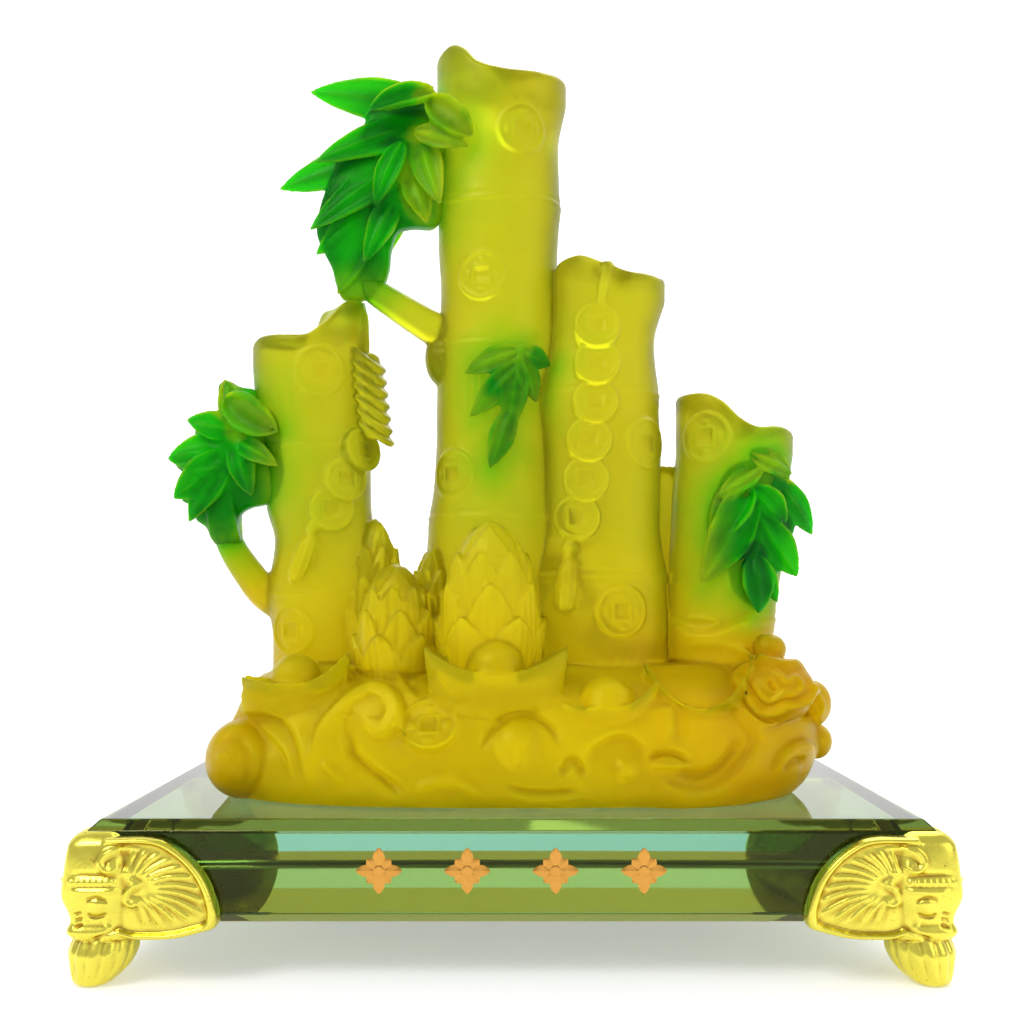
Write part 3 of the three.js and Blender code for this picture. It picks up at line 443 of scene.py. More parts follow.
def baked(mesh, *modifiers):
    """The mesh after a row of modifiers, each a kind and its settings."""
    holder = bpy.data.objects.new("holder", mesh)
    bpy.context.scene.collection.objects.link(holder)
    for kind, settings in modifiers:
        modifier = holder.modifiers.new(kind, kind)
        for key, value in settings.items():
            setattr(modifier, key, value)
    graph = bpy.context.evaluated_depsgraph_get()
    result = bpy.data.meshes.new_from_object(holder.evaluated_get(graph))
    bpy.data.objects.remove(holder)
    bpy.data.meshes.remove(mesh)
    return result


def corners(mesh):
    """The mesh's points, in millimetres above the base level, and its normals."""
    points = np.empty(3 * len(mesh.vertices), np.float32)
    mesh.vertices.foreach_get("co", points)
    normals = np.empty(3 * len(mesh.vertices), np.float32)
    mesh.vertex_normals.foreach_get("vector", normals)
    points = points.reshape(-1, 3).astype(float) / MM - [0, 0, BASE_LEVEL]
    return points, normals.reshape(-1, 3).astype(float)


def set_corners(mesh, points):
    """Move the mesh's points to places in millimetres."""
    places = ((points + [0, 0, BASE_LEVEL]) * MM).astype(np.float32)
    mesh.vertices.foreach_set("co", places.ravel())
    mesh.update()


def skinned(shape, name, kind, relief=None, soften=4, cutter=None):
    """One smooth skin over a shape's bodies, carved by a relief, cut and thinned out."""
    skin = SKIN[kind]
    voxel = skin["voxel"] * 1
    mesh = baked(
        shape.mesh(name),
        ("REMESH", {"mode": "VOXEL", "voxel_size": voxel, "adaptivity": 0.0}),
        ("SMOOTH", {"factor": 0.5, "iterations": soften}),
    )
    if relief:
        points, normals = corners(mesh)
        set_corners(mesh, points + normals * relief(points, normals)[:, None])
    if cutter:
        mesh = baked(mesh, ("BOOLEAN", {"operation": "DIFFERENCE", "object": cutter,
                                        "solver": "MANIFOLD"}))
    mesh.calc_loop_triangles()
    ratio = skin["triangles"] / len(mesh.loop_triangles)
    if ratio < 1:
        mesh = baked(mesh, ("DECIMATE", {"decimate_type": "COLLAPSE", "ratio": ratio}))
    mesh.name = name
    mesh.shade_smooth()
    return mesh


def neighbour_mean(mesh, values):
    """Mean of each point's neighbours."""
    edges = np.empty(2 * len(mesh.edges), np.int32)
    mesh.edges.foreach_get("vertices", edges)
    a, b = edges.reshape(-1, 2).T
    total = np.zeros_like(values)
    count = np.zeros(len(values))
    for here, there in ((a, b), (b, a)):
        count += np.bincount(here, minlength=len(values))
        for column in range(values.shape[1]):
            total[:, column] += np.bincount(here, values[there, column], len(values))
    return total / np.maximum(count, 1)[:, None]


def hollowness(mesh, reach=3):
    """How much each point lies in a crease, above 0, or on an edge, below 0."""
    points, normals = corners(mesh)
    mean = points
    for _ in range(reach):
        mean = neighbour_mean(mesh, mean)
    value = np.einsum("ij,ij->i", mean - points, normals)[:, None]
    for _ in range(2):
        value = neighbour_mean(mesh, value)
    return value[:, 0]


def paint(mesh, name, values):
    """Store a number at each point for the material to read."""
    attribute = mesh.attributes.new(name, "FLOAT", "POINT")
    attribute.data.foreach_set("value", np.asarray(values, np.float32))


def piece(name, mesh, material, slot, *nodes):
    """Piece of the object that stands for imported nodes."""
    mesh.materials.clear()
    mesh.materials.append(material)
    made = bpy.data.objects.new(name, mesh)
    bpy.context.scene.collection.objects.link(made)
    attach(made, "root")
    if nodes:
        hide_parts(*nodes)
    return made


# Base mound: height and how far it reaches left, right, forward and back at each level
CASTING_BOTTOM = 30.3
MOUND_POWER = 2.8
MOUND = [
    [30.3, -62, 62, -30.4, 27], [33, -64.5, 65, -30.8, 28], [37.4, -67, 67.4, -30.4, 29],
    [41, -66, 68.4, -29.8, 28.6], [46, -62, 67.2, -28.2, 26.6], [51, -59.5, 62.5, -25.6, 23.6],
    [55, -57, 57.4, -21, 19], [58, -48, 50, -14, 13],
]
MOUND_TOP = 58
MOUND_EDGE = 0.97

# Relief of curling waves on the mound, as x and height: a step stands up on the right of
# its line's direction, a ridge stands along it and a groove runs along it. Each has its
# height and its width or the length over which it fades.
WAVE_LINES = [
    ["step", 2.4, 5.5, [[-40.2, 38], [-40.6, 42], [-39.8, 46.6], [-37, 50.4], [-33, 53.8],
                        [-29, 55], [-25.6, 54.2], [-23, 51.6], [-22.4, 48.6], [-24.2, 45.6],
                        [-27.2, 44.6], [-29.6, 46], [-30.7, 48.8], [-29.6, 49.8]]],
    ["step", 1.6, 3, [[-33.6, 56], [-31.1, 57.2], [-27.8, 57.8], [-24, 56.8], [-21, 54.1],
                      [-18.1, 51.6]]],
    ["step", -2.2, 5, [[-60.6, 46.4], [-58.1, 47.6], [-54.5, 48.6], [-49.4, 48], [-45.8, 45.2],
                       [-43.7, 41.2], [-42.6, 37], [-41.6, 33]]],
    ["step", -1.4, 3, [[-59.7, 43.8], [-55.8, 46], [-51.8, 44.6], [-48, 41.6], [-45.8, 37.4],
                       [-44.2, 32.8]]],
    ["step", -1.4, 4, [[-62, 40.6], [-61.2, 43.2], [-58.2, 45], [-54.4, 43.2], [-53, 38.8],
                       [-54.6, 32.4]]],
    ["ridge", 0.35, 1.4, [[-61, 40], [-58.8, 40.6], [-57.2, 39.6]]],
    ["groove", 1.3, 2.2, [[-33.2, 47.4], [-33, 43.4], [-32.4, 41.4], [-29.6, 38.6], [-26, 36],
                          [-20.6, 32.8]]],
    ["ridge", 0.6, 1.8, [[-39.2, 39.8], [-36.1, 36.8], [-32.9, 34.3]]],
    ["ridge", 0.8, 1.8, [[-20.7, 34], [-14.7, 35.6], [-11.4, 35.4], [-5.5, 32.6]]],
    ["groove", 1.2, 1.6, [[-6.6, 41], [-5, 45], [-1, 48.4], [4, 48.8], [8, 46.4], [9.6, 42]]],
    ["groove", 1.1, 2.0, [[9.4, 36.4], [12.2, 40], [14, 38.2], [13.6, 36]]],
    ["groove", 0.9, 1.2, [[-1.4, 35], [4.3, 33.8], [14.4, 34.2]]],
    ["ridge", 0.7, 1.2, [[-1.4, 33.4], [4.3, 32.3], [14.5, 32.6]]],
    ["step", -2, 4, [[14.4, 38.6], [16.2, 42], [19.4, 44.2], [23.4, 44.6], [26.4, 42.4],
                     [28, 39.4]]],
    ["groove", 1.2, 1.3, [[27, 40.2], [30.6, 41.2], [33.3, 41], [36.6, 39.7]]],
    ["ridge", 0.8, 1.2, [[27.2, 38.8], [32.1, 38.7], [37.8, 38.4]]],
    ["step", 2.4, 4.5, [[28.6, 37.4], [32, 34.8], [37, 33.6], [42, 34.2], [46.6, 37.4],
                        [50, 42.4], [51.6, 46.6]]],
    ["groove", 1.1, 2.2, [[32.5, 38], [37, 36.6], [41, 37.2], [45, 40.4], [48, 45.4]]],
    ["step", 1.8, 3, [[32.4, 56], [33.2, 51], [33.2, 46], [32.4, 42]]],
    ["step", -1.6, 4, [[43.4, 57.4], [46, 50], [49.6, 45.4], [54, 42.6]]],
    ["step", 1.8, 3.4, [[53, 36], [56, 40], [60, 42.4], [64, 42], [66.4, 39]]],
    ["groove", 0.8, 1.4, [[56, 36.6], [59, 38.6], [62.4, 38.2]]],
]
STEP_SOFTNESS = 0.7
WAVE_GAIN = 1.25
# Height along x above which the waves leave the surface plain, and how they fade towards it
# and towards faces that don't look forward or back
WAVE_TOPS = [[-70, 54], [-38, 54], [-34, 58.5], [-16, 58.5], [-12, 54], [14, 53.5],
             [24, 51.5], [70, 51.5]]
WAVE_FADE = {"height": 2, "turn": 0.1, "turn_blur": 0.3}
# Share of a line at either end over which it rises, how far it's felt as a multiple of its
# width, and how many steps it has between two of its points
TAPER_SHARE = 0.25
LINE_REACH = 3.2
LINE_STEPS = 10
FAR_OFF = 1e9

# Coins on the stalks: which stalk, and the middle of the coin as x and height
STALK_COINS = [
    ["left", -42.4, 122.8], ["left", -49, 65.5], ["tall", 2.2, 176.9], ["tall", -6.7, 144.4],
    ["tall", -13.2, 100.3], ["middle", 29.4, 106.5], ["middle", 23.8, 69.9],
    ["right", 42.6, 108],
]
COIN_RADIUS = 5.8
STRUNG_RADIUS = 5.1
STRUNG_TILT = -9
FAN_COIN = {"x": -17, "z": 46.7, "tilt": 40, "radius": 6.3, "lift": 0.6}
# Height of a coin's face over its place, and of its back on a stalk and elsewhere
COIN_FACE = {"stalk": 0.45, "strung": 1.2, "fan": 1.0}
COIN_BACK = {"stalk": -1.4, "other": -3.4}
# Rim of a coin: how far inside its radius and under its face each row lies, then the radii
# of its flat face as shares, and how far the back is drawn in
COIN_RIM = [[0, 0.5], [0.25, 0.1], [0.7, 0]]
COIN_FLAT = [0.6, 0.3]
COIN_BACK_INSET = 0.2
# Marks on a coin's face. The ring is measured inwards from the coin's edge, and the square
# hole and its frame from the middle; the petals start at a radius and end inside the ring.
COIN_MARKS = {
    "ring": {"outer": 0.1, "inner": 1.35, "inner_blur": 0.35, "outer_blur": 0.3, "rise": 0.3},
    "hole": {"half": 1.75, "blur": 0.35, "rise": 0.35},
    "frame": {"inner": 1.45, "outer": 2.35, "blur": 0.3, "rise": 0.24},
    "petal": {"count": 4, "narrow": 0.35, "start": 2.7, "end": 1.7, "blur": 0.4, "rise": 0.24},
    "depth": 0.8, "depth_blur": 0.4, "turn": 0.55, "margin": 1.2,
}

# Coins threaded on a cord: down the middle stalk as x and height, and round the left one
# as an angle from its right side towards the front, height and standoff
MIDDLE_STRING = [[14.1, 90], [16, 98.3], [16.7, 106.9], [18, 115.2], [18.4, 123.6],
                 [18.4, 131.4]]
MIDDLE_STRING_DEPTH = -13.8
LEFT_STRING = [[-70, 92.2, 0], [-54, 98.8, 0.5], [-36, 105.6, 1.4]]
# Coins further up the left string, which are seen edge on: the first and last middle, how
# many, the way their faces look, their radius and half their thickness
EDGE_COINS = {"first": [-30.4, -5, 109.6], "last": [-32.6, -1.6, 126.6], "count": 7,
              "out": [0.6, -0.15, 0.78], "radius": 4.9, "half": 0.7, "bevel": 0.4,
              "core": 2.7}
MIDDLE_CORD = [[21.4, -7, 144.4], [20.8, -11.8, 144.8], [19.8, -13, 140.6], [19, -13.6, 134]]
LEFT_CORD = [[-36.4, 0, 138], [-34.4, -0.4, 137.4], [-33.6, -1, 132], [-33.4, -1.6, 127]]
TASSELS = [[[12.6, -13.8, 84.6], [11.2, -13.8, 69.6]],
           [[-43.4, -8.6, 89.6], [-47.8, -8.4, 76.4]]]
CORD_RADII = [1.5, 1.1]
TASSEL = [[-0.06, 0.5], [0, 1.5], [0.08, 1.9], [0.16, 1.5], [0.2, 1.1], [0.26, 1.3],
          [0.4, 2.2], [0.66, 2.5], [0.94, 1.9], [1, 1.2]]
THREADS = {"count": 9, "depth": 0.36, "from": 0.24, "fade": 0.1}

# Boat shaped ingots: middle, half length, half width, the heights of the keel, the rim's
# middle and both tips, and the radius of the dome, which one of them lacks
INGOTS = [
    {"x": -3.3, "y": -23.5, "half": 15.2, "wide": 6.4, "keel": 44, "dip": 57.6,
     "tips": [63.4, 63.4], "dome": 6},
    {"x": -45.9, "y": -17.4, "half": 11.6, "wide": 6.4, "keel": 44, "dip": 55,
     "tips": [56.4, 62.1], "dome": 5.4},
    {"x": 19.6, "y": -22.6, "half": 10.9, "wide": 6, "keel": 42, "dip": 50.4,
     "tips": [51.4, 57], "dome": 5.8},
    {"x": 39.2, "y": -18.6, "half": 11.8, "wide": 7, "keel": 42, "dip": 50,
     "tips": [61, 61], "dome": 0},
    {"x": 24, "y": 17, "half": 13, "wide": 6, "keel": 44, "dip": 56.6,
     "tips": [62, 62], "dome": 5.6},
]
# Section of an ingot: share of the half width, then the height as a share from keel to
# rim, and a drop below the rim
INGOT = {"tip_width": 1.7, "width_power": 2.6, "rim_power": 2.2, "open_deck": 2.6,
         "deck_fade": 0.55, "deck_power": 4, "rows": 44, "dome_lift": 0.4}
KEEL_SHARE = 0.82
INGOT_SECTION = [[0, 0, 0], [0.34, 0.06, 0], [0.62, 0.3, 0], [0.84, 0.64, 0], [0.96, 0.9, 0],
                 [1, 1, 0.3], [0.99, 1, 0], [0.86, 1, 0], [0.82, 1, 0.5], [0.74, 1, 2.2],
                 [0.4, 1, 2.8], [0, 1, 2.9]]

# Swelling under the tall stalk's branch, and balls half sunk in the base: middle, radius
SWELLING = [-15.4, 2, 127.6, 4.6, 4.6, 6.8]
BALLS = [
    [1.2, -23.6, 41.4, 7.6, 7.6, 7.6], [22.8, -27, 37.8, 3.8, 3.8, 3.8],
    [56.6, -9.5, 61.4, 3.6, 3.6, 3.4], [66, -9, 49.4, 4.2, 5, 5.2],
    [67.6, -6, 40.8, 3.6, 4, 4], [-57.2, -15, 38.4, 8.2, 12.6, 8.6],
    [-6, 25, 40, 6.4, 6.4, 6.4], [66, 9, 45, 4.6, 5, 4.6], [55.6, -15, 52.8, 9.4, 10, 7.4],
]

# Bamboo shoots: foot, radius at the foot, height of the tip and a turn in degrees
SHOOTS = [
    {"foot": [-4.8, -13, 54], "radius": 10.4, "top": 89.3, "turn": 0},
    {"foot": [-25.4, -12.6, 54], "radius": 7.4, "top": 80.2, "turn": 12},
    {"foot": [-31, -2, 56], "radius": 6, "top": 90.6, "turn": 40},
    {"foot": [-17.6, -5, 58], "radius": 4.6, "top": 84, "turn": -10},
    {"foot": [13.2, 14, 54], "radius": 8, "top": 82, "turn": 180},
]
SHOOT_PROFILE = [[0, 0.92], [0.3, 0.92], [0.55, 0.84], [0.75, 0.69], [0.88, 0.5], [0.96, 0.28],
                 [1, 0.06]]
# Sheaths on a shoot, row by row: start and tip as shares of its height, half the angle
# that a sheath spans, and the turns of its middle, in degrees from the front
SHEATHS = [
    [0.42, 0.98, 62, [0, 120, 240]],
    [0.22, 0.81, 44, [-58, -12, 36, 90, 140, 190, 240]],
    [0.04, 0.62, 42, [2, 60, 120, 180, 240, 300]],
    [0, 0.42, 40, [-30, 32, 90, 150, 210, 270]],
]
SHEATH_LIFT = 0.8
SHEATH_STEP = 0.6
# One sheath: how its width narrows to its tip, how far its foot, tip and sides stand off,
# its rim and midrib, and how far its inner side lies inside the shoot
SHEATH = {"taper": 1.9, "roundness": 0.75, "tip": 0.003, "foot_lift": 0.5, "tip_lift": 0.9,
          "side_drop": 0.3, "rim": 0.35, "rim_place": 0.9, "rib": 0.2, "blur": 0.12,
          "inside": 1.4, "inner_drop": 0.5}
# Streaks on the sheaths: their width and depth, and where they leave off
STREAK = {"width": 1.7, "depth": 0.07, "lift": 1, "reach": 2, "level": 0.8, "level_blur": 0.4}

# Open flower on the right end of the base: ridges of its petals' rims and the hollows
# between them, as x and height
FLOWER_LINES = [
    ["ridge", 1.3, 1.6, [[46, 62], [49.8, 61.4], [53.4, 59.4], [57, 58.6], [60.8, 58.4],
                         [63.4, 57]]],
    ["ridge", 1.2, 1.3, [[49.6, 59.4], [47.6, 57.2], [48.2, 54.2], [49.8, 51.2], [52.2, 48.9],
                         [54.6, 49.2], [57.4, 50.4], [60.4, 50.8], [62.6, 52.6], [62.4, 55.4],
                         [60.2, 57.2]]],
    ["ridge", 0.8, 1.0, [[51.2, 57.4], [50.4, 55], [51.4, 52.6], [53.2, 51.4], [55, 52.2],
                         [56.4, 53.4], [58.4, 53], [60, 54.2], [59, 56.2], [57, 55.6],
                         [55.4, 57], [53.4, 58], [51.2, 57.4]]],
    ["groove", 1.1, 1.2, [[52.9, 56.4], [53.6, 54.6], [54.6, 53.6]]],
    ["groove", 0.8, 1.0, [[49.4, 57.2], [49.6, 54.6], [51, 51.8], [53, 50.3], [56, 51.6],
                          [59.4, 52], [61.2, 54]]],
    ["ridge", 1.0, 1.3, [[61, 54.6], [64.4, 53], [66.8, 50], [66.6, 46]]],
    ["groove", 0.9, 1.1, [[62, 51.6], [63.8, 49.4], [64, 46.6]]],
    ["ridge", 0.9, 1.2, [[47, 51.8], [48.6, 48.4], [51.6, 46.2], [55, 46.4], [59, 48.4]]],
]
# Cut lower end of the right stalk: the ring of its end and the edge of its flared skirt
SKIRT_LINES = [
    ["ridge", 1.0, 0.9, [[36.4, 67.6], [38.4, 66.4], [41.2, 66], [44, 66.4], [45.2, 67.2],
                         [43.4, 68], [40.8, 68.3], [38.4, 68.2], [36.4, 67.6]]],
    ["step", 2.8, 3.0, [[36, 66.6], [39, 65.4], [43, 65.2], [47, 66.4], [51, 68.2], [55, 70.4]]],
]
# Where these lines are carved: the least x, the greatest depth, how far a face has to look
# forward, and each set of lines with its lowest and greatest height
RIGHT_END = {"x": 34, "y": -3, "turn": 0.2}
RIGHT_END_LINES = [[FLOWER_LINES, 44, 65], [SKIRT_LINES, 62, 74]]


def mound_row(z):
    """How far the mound reaches left, right, forward and back at each height."""
    return [between(z, MOUND, column) for column in range(1, len(MOUND[0]))]


def mound():
    """Base mound as a loft through its levels."""
    sides, rows = DETAIL["mound"]
    _, cos, sin = circle(sides)
    bend = 2 / MOUND_POWER
    rings = []
    for z in np.linspace(CASTING_BOTTOM, MOUND_TOP, rows):
        left, right, front, back = mound_row(z)
        x = (left + right) / 2 + 0.5 * (right - left) * np.sign(cos) * abs(cos) ** bend
        y = (front + back) / 2 + 0.5 * (back - front) * np.sign(sin) * abs(sin) ** bend
        rings.append(ring(x, y, z))
    return loft(rings)


def mound_depth(x, z):
    """Depth of the mound's front surface."""
    left, right, front, back = mound_row(z)
    across = min(MOUND_EDGE, abs(2 * x - left - right) / (right - left))
    reach = 0.5 * (back - front) * (1 - across ** MOUND_POWER) ** (1 / MOUND_POWER)
    return (front + back) / 2 - reach


def stalk(spec):
    """Bamboo stalk with swollen joints, a slanted rim and a dished top."""
    levels = np.array(spec["levels"], float)
    rim_low = min(height for _, height in spec["rim"])
    heights = np.arange(levels[0, 0], rim_low - BELOW_RIM, STALK_ROW)
    radius = between(heights, levels, 2)
    for ridge in spec["ridges"]:
        radius = radius + JOINT_SWELL * np.exp(-((heights - ridge) / JOINT_SPREAD) ** 2)
    middle = between(heights, levels, 1)
    _, cos, sin = circle(STALK_SIDES)
    rings = []
    for x, r, z in zip(middle, radius, heights):
        rings.append(ring(x + r * cos, spec["y"] + STALK_FLATNESS * r * sin, z))
    x, r = levels[-1, 1], levels[-1, 2]
    edge = between(cos, spec["rim"])
    for share, drop in RIM_PROFILE:
        depth = spec["y"] + STALK_FLATNESS * share * r * sin
        rings.append(ring(x + share * r * cos, depth, edge + drop))
    dish = between(0.0, spec["rim"]) - DISH_DEPTH
    return loft(rings, (rings[0].mean(0), np.array([x, spec["y"], dish])))


def stalk_place(name, x, z):
    """Frame on a stalk's front surface."""
    spec = STALKS[name]
    middle, radius = between(z, spec["levels"], 1), between(z, spec["levels"], 2)
    cos = (x - middle) / radius
    sin = -np.sqrt(1 - cos ** 2)
    out = unit([cos, sin / STALK_FLATNESS, 0])
    return facing([x, spec["y"] + STALK_FLATNESS * radius * sin, z], out)


def coin(place, radius, back, face, bend=0.0):
    """Flat coin with a rounded edge, wrapped to a bend radius where there is one."""
    profile = [[radius - COIN_BACK_INSET, back]]
    profile += [[radius - inset, face - drop] for inset, drop in COIN_RIM]
    profile += [[radius * share, face] for share in COIN_FLAT]
    points, faces = turned(place, profile, DETAIL["coin"])
    if bend:
        across = (points - place["middle"]) @ place["side"]
        drop = bend - np.sqrt(bend ** 2 - across ** 2)
        points = points - drop[:, None] * place["out"]
    return points, faces


def coin_places():
    """Frame, radius and face height of every coin."""
    places = []
    for name, x, z in STALK_COINS:
        bend = between(z, STALKS[name]["levels"], 2)
        places.append([stalk_place(name, x, z), COIN_RADIUS, COIN_FACE["stalk"], bend])
    for x, z in MIDDLE_STRING:
        place = facing([x, MIDDLE_STRING_DEPTH, z], FRONT, STRUNG_TILT)
        places.append([place, STRUNG_RADIUS, COIN_FACE["strung"], 0.0])
    levels, depth = STALKS["left"]["levels"], STALKS["left"]["y"]
    for degrees, z, standoff in LEFT_STRING:
        angle = np.radians(degrees)
        radius = between(z, levels, 2) + standoff
        out = unit([np.cos(angle), np.sin(angle) / STALK_FLATNESS, 0])
        middle = [between(z, levels) + radius * np.cos(angle),
                  depth + STALK_FLATNESS * radius * np.sin(angle), z]
        place = facing(middle, out, STRUNG_TILT)
        places.append([place, STRUNG_RADIUS, COIN_FACE["strung"], 0.0])
    fan = FAN_COIN
    middle = [fan["x"], mound_depth(fan["x"], fan["z"]) + fan["lift"], fan["z"]]
    places.append([facing(middle, FRONT, -fan["tilt"]), fan["radius"], COIN_FACE["fan"], 0.0])
    return places


def coin_marks(u, v, radius):
    """Height of the marks on a coin's face at places across and up from its middle."""
    edge, hole = COIN_MARKS["ring"], COIN_MARKS["hole"]
    bars, petal = COIN_MARKS["frame"], COIN_MARKS["petal"]
    r = np.hypot(u, v)
    square = np.maximum(abs(u), abs(v))
    rise = edge["rise"] * within(r, radius - edge["inner"], radius - edge["outer"],
                                 edge["inner_blur"], edge["outer_blur"])
    rise -= hole["rise"] * smooth_step((hole["half"] - square) / hole["blur"])
    rise += bars["rise"] * within(square, bars["inner"], bars["outer"], bars["blur"])
    wave = np.cos(petal["count"] * np.arctan2(v, u))
    leaf = smooth_step((wave - petal["narrow"]) / petal["narrow"])
    leaf = leaf * within(r, petal["start"], radius - petal["end"], petal["blur"])
    return rise + petal["rise"] * leaf


def coin_relief(points, normals):
    """Raised ring, square hole and four plain petals on every coin's face."""
    deep, blur = COIN_MARKS["depth"], COIN_MARKS["depth_blur"]
    height = np.zeros(len(points))
    for place, radius, face, bend in coin_places():
        local = points - place["middle"]
        near = np.einsum("ij,ij->i", local, local) < (radius + COIN_MARKS["margin"]) ** 2
        near &= normals @ place["out"] > COIN_MARKS["turn"]
        local = local[near]
        u, v, w = local @ place["side"], local @ place["up"], local @ place["out"]
        if bend:
            w = w + bend - np.sqrt(np.maximum(bend ** 2 - u ** 2, 0))
        height[near] += coin_marks(u, v, radius) * within(w, face - deep, face + deep, blur)
    return height


def edge_coins():
    """Stack of thin coins on their cord, which are seen edge on."""
    spec = EDGE_COINS
    radius, half, bevel = spec["radius"], spec["half"], spec["bevel"]
    out = unit(spec["out"])
    path = np.linspace(spec["first"], spec["last"], spec["count"])
    profile = [[radius - bevel, -half], [radius, bevel - half], [radius, half - bevel],
               [radius - bevel, half]]
    bodies = [turned(facing(middle, out), profile, DETAIL["edge_coin"]) for middle in path]
    return bodies + [tube(path, [spec["core"], spec["core"]])]


def tassel(top, bottom):
    """Knot with a bundle of threads under it."""
    top, bottom = np.array(top, float), np.array(bottom, float)
    sides, rows = DETAIL["tassel"]
    angle, cos, sin = circle(sides)
    threads = THREADS["depth"] * np.cos(THREADS["count"] * angle)
    rings = []
    for share in np.linspace(TASSEL[0][0], TASSEL[-1][0], rows):
        shown = smooth_step((share - THREADS["from"]) / THREADS["fade"])
        reach = between(share, TASSEL) + threads * shown
        rings.append(top + share * (bottom - top) + ring(reach * cos, reach * sin, 0.0))
    return loft(rings)


def ingot(spec):
    """Boat shaped ingot with raised tips and a sunken deck, shallower where a dome sits on it.
    """
    rings = []
    keel, end = spec["keel"], INGOT["tip_width"]
    deep = 1.0 if spec["dome"] else INGOT["open_deck"]
    for s in np.sin(np.linspace(-0.5, 0.5, INGOT["rows"]) * np.pi):
        tip = spec["tips"][0] if s < 0 else spec["tips"][1]
        rim = spec["dip"] + (tip - spec["dip"]) * abs(s) ** INGOT["rim_power"]
        width = end + (spec["wide"] - end) * (1 - abs(s) ** INGOT["width_power"])
        fade = 1 - INGOT["deck_fade"] * abs(s) ** INGOT["deck_power"]
        half = []
        for across, share, drop in INGOT_SECTION:
            hollow = deep if drop > 1 else 1.0
            half.append([across, keel + share * (rim - keel) - drop * hollow * fade])
        section = np.array(half + [[-across, low] for across, low in half[-2:0:-1]])
        across, low = section.T
        reach = KEEL_SHARE + (1 - KEEL_SHARE) * (low - keel) / (rim - keel)
        x = spec["x"] + spec["half"] * s * reach
        rings.append(ring(x, spec["y"] + width * across, low))
    return loft(rings)


def shoot_frame(spec):
    """Foot and height of a shoot."""
    foot = np.array(spec["foot"], float)
    return foot, spec["top"] - foot[2]


def sheath(spec, start, tip, span, turn, lift):
    """Pointed sheath wrapped round a shoot, its rim and tip standing a little off it."""
    foot, height = shoot_frame(spec)
    form = SHEATH
    count, rows = DETAIL["sheath"]
    across = np.linspace(-1, 1, count)
    level = np.ones(count)
    rim = form["rim"] * np.exp(-((abs(across) - form["rim_place"]) / form["blur"]) ** 2)
    rim = rim + form["rib"] * np.exp(-(across / form["blur"]) ** 2)
    rings = []
    for t in np.linspace(0, 1, rows):
        narrow = max(1 - t ** form["taper"], form["tip"]) ** form["roundness"]
        angle = np.radians(turn + FRONT_ANGLE) + across * np.radians(span) * narrow
        share = start + t * (tip - start)
        skin = spec["radius"] * between(share, SHOOT_PROFILE)
        stand = lift * (form["foot_lift"] + form["tip_lift"] * t ** 2)
        outer = skin + stand * (1 - form["side_drop"] * across ** 2) + rim
        reach = np.concatenate([outer, (skin - form["inside"]) * level])
        around = np.concatenate([angle, angle[::-1]])
        drop = np.concatenate([0 * level, form["inner_drop"] * level])
        rings.append(ring(foot[0] + reach * np.cos(around), foot[1] + reach * np.sin(around),
                          foot[2] + share * height - drop))
    return loft(rings)


def shoot(spec):
    """Bodies of one bamboo shoot: its core and rings of sheaths."""
    foot, height = shoot_frame(spec)
    sides, rows = DETAIL["shoot"]
    _, cos, sin = circle(sides)
    rings = []
    for t in np.linspace(0, 1, rows):
        r = spec["radius"] * between(t, SHOOT_PROFILE)
        rings.append(ring(foot[0] + r * cos, foot[1] + r * sin, foot[2] + t * height))
    bodies = [loft(rings)]
    for row, (start, tip, span, turns) in enumerate(SHEATHS):
        lift = SHEATH_LIFT * (1 + SHEATH_STEP * row)
        for turn in turns:
            bodies.append(sheath(spec, start, tip, span, spec["turn"] + turn, lift))
    return bodies


def along_path(place, path):
    """How far each place is from a path, on which side, 1 or -1, and beside which share."""
    start, step = path[:-1], np.diff(path, axis=0)
    length = np.linalg.norm(step, axis=1)
    total = np.concatenate([[0], np.cumsum(length)])
    best = np.full(len(place), FAR_OFF)
    side = np.zeros(len(place))
    share = np.zeros(len(place))
    for k in range(len(step)):
        local = place - start[k]
        t = np.clip(local @ step[k] / length[k] ** 2, 0, 1)
        gap = local - t[:, None] * step[k]
        far = np.hypot(gap[:, 0], gap[:, 1])
        closer = far < best
        turn = step[k, 0] * local[:, 1] - step[k, 1] * local[:, 0]
        side = np.where(closer, -np.sign(turn), side)
        share = np.where(closer, (total[k] + t * length[k]) / total[-1], share)
        best = np.minimum(best, far)
    return best, side, share


def carved(u, v, lines):
    """Height of steps, ridges and grooves drawn as lines on a surface."""
    height = np.zeros(len(u))
    for kind, rise, spread, points in lines:
        path = smooth_curve(points, LINE_STEPS * len(points))
        low, high = path.min(0) - LINE_REACH * spread, path.max(0) + LINE_REACH * spread
        near = np.flatnonzero((u > low[0]) & (u < high[0]) & (v > low[1]) & (v < high[1]))
        if not len(near):
            continue
        best, side, share = along_path(np.column_stack([u[near], v[near]]), path)
        taper = smooth_step(np.minimum(share, 1 - share) / TAPER_SHARE)
        if kind == "step":
            value = 0.5 * rise * np.tanh(side * best / STEP_SOFTNESS) * np.exp(-best / spread)
        else:
            value = (rise if kind == "ridge" else -rise) * np.exp(-(best / (0.5 * spread)) ** 2)
        height[near] += value * taper
    return height


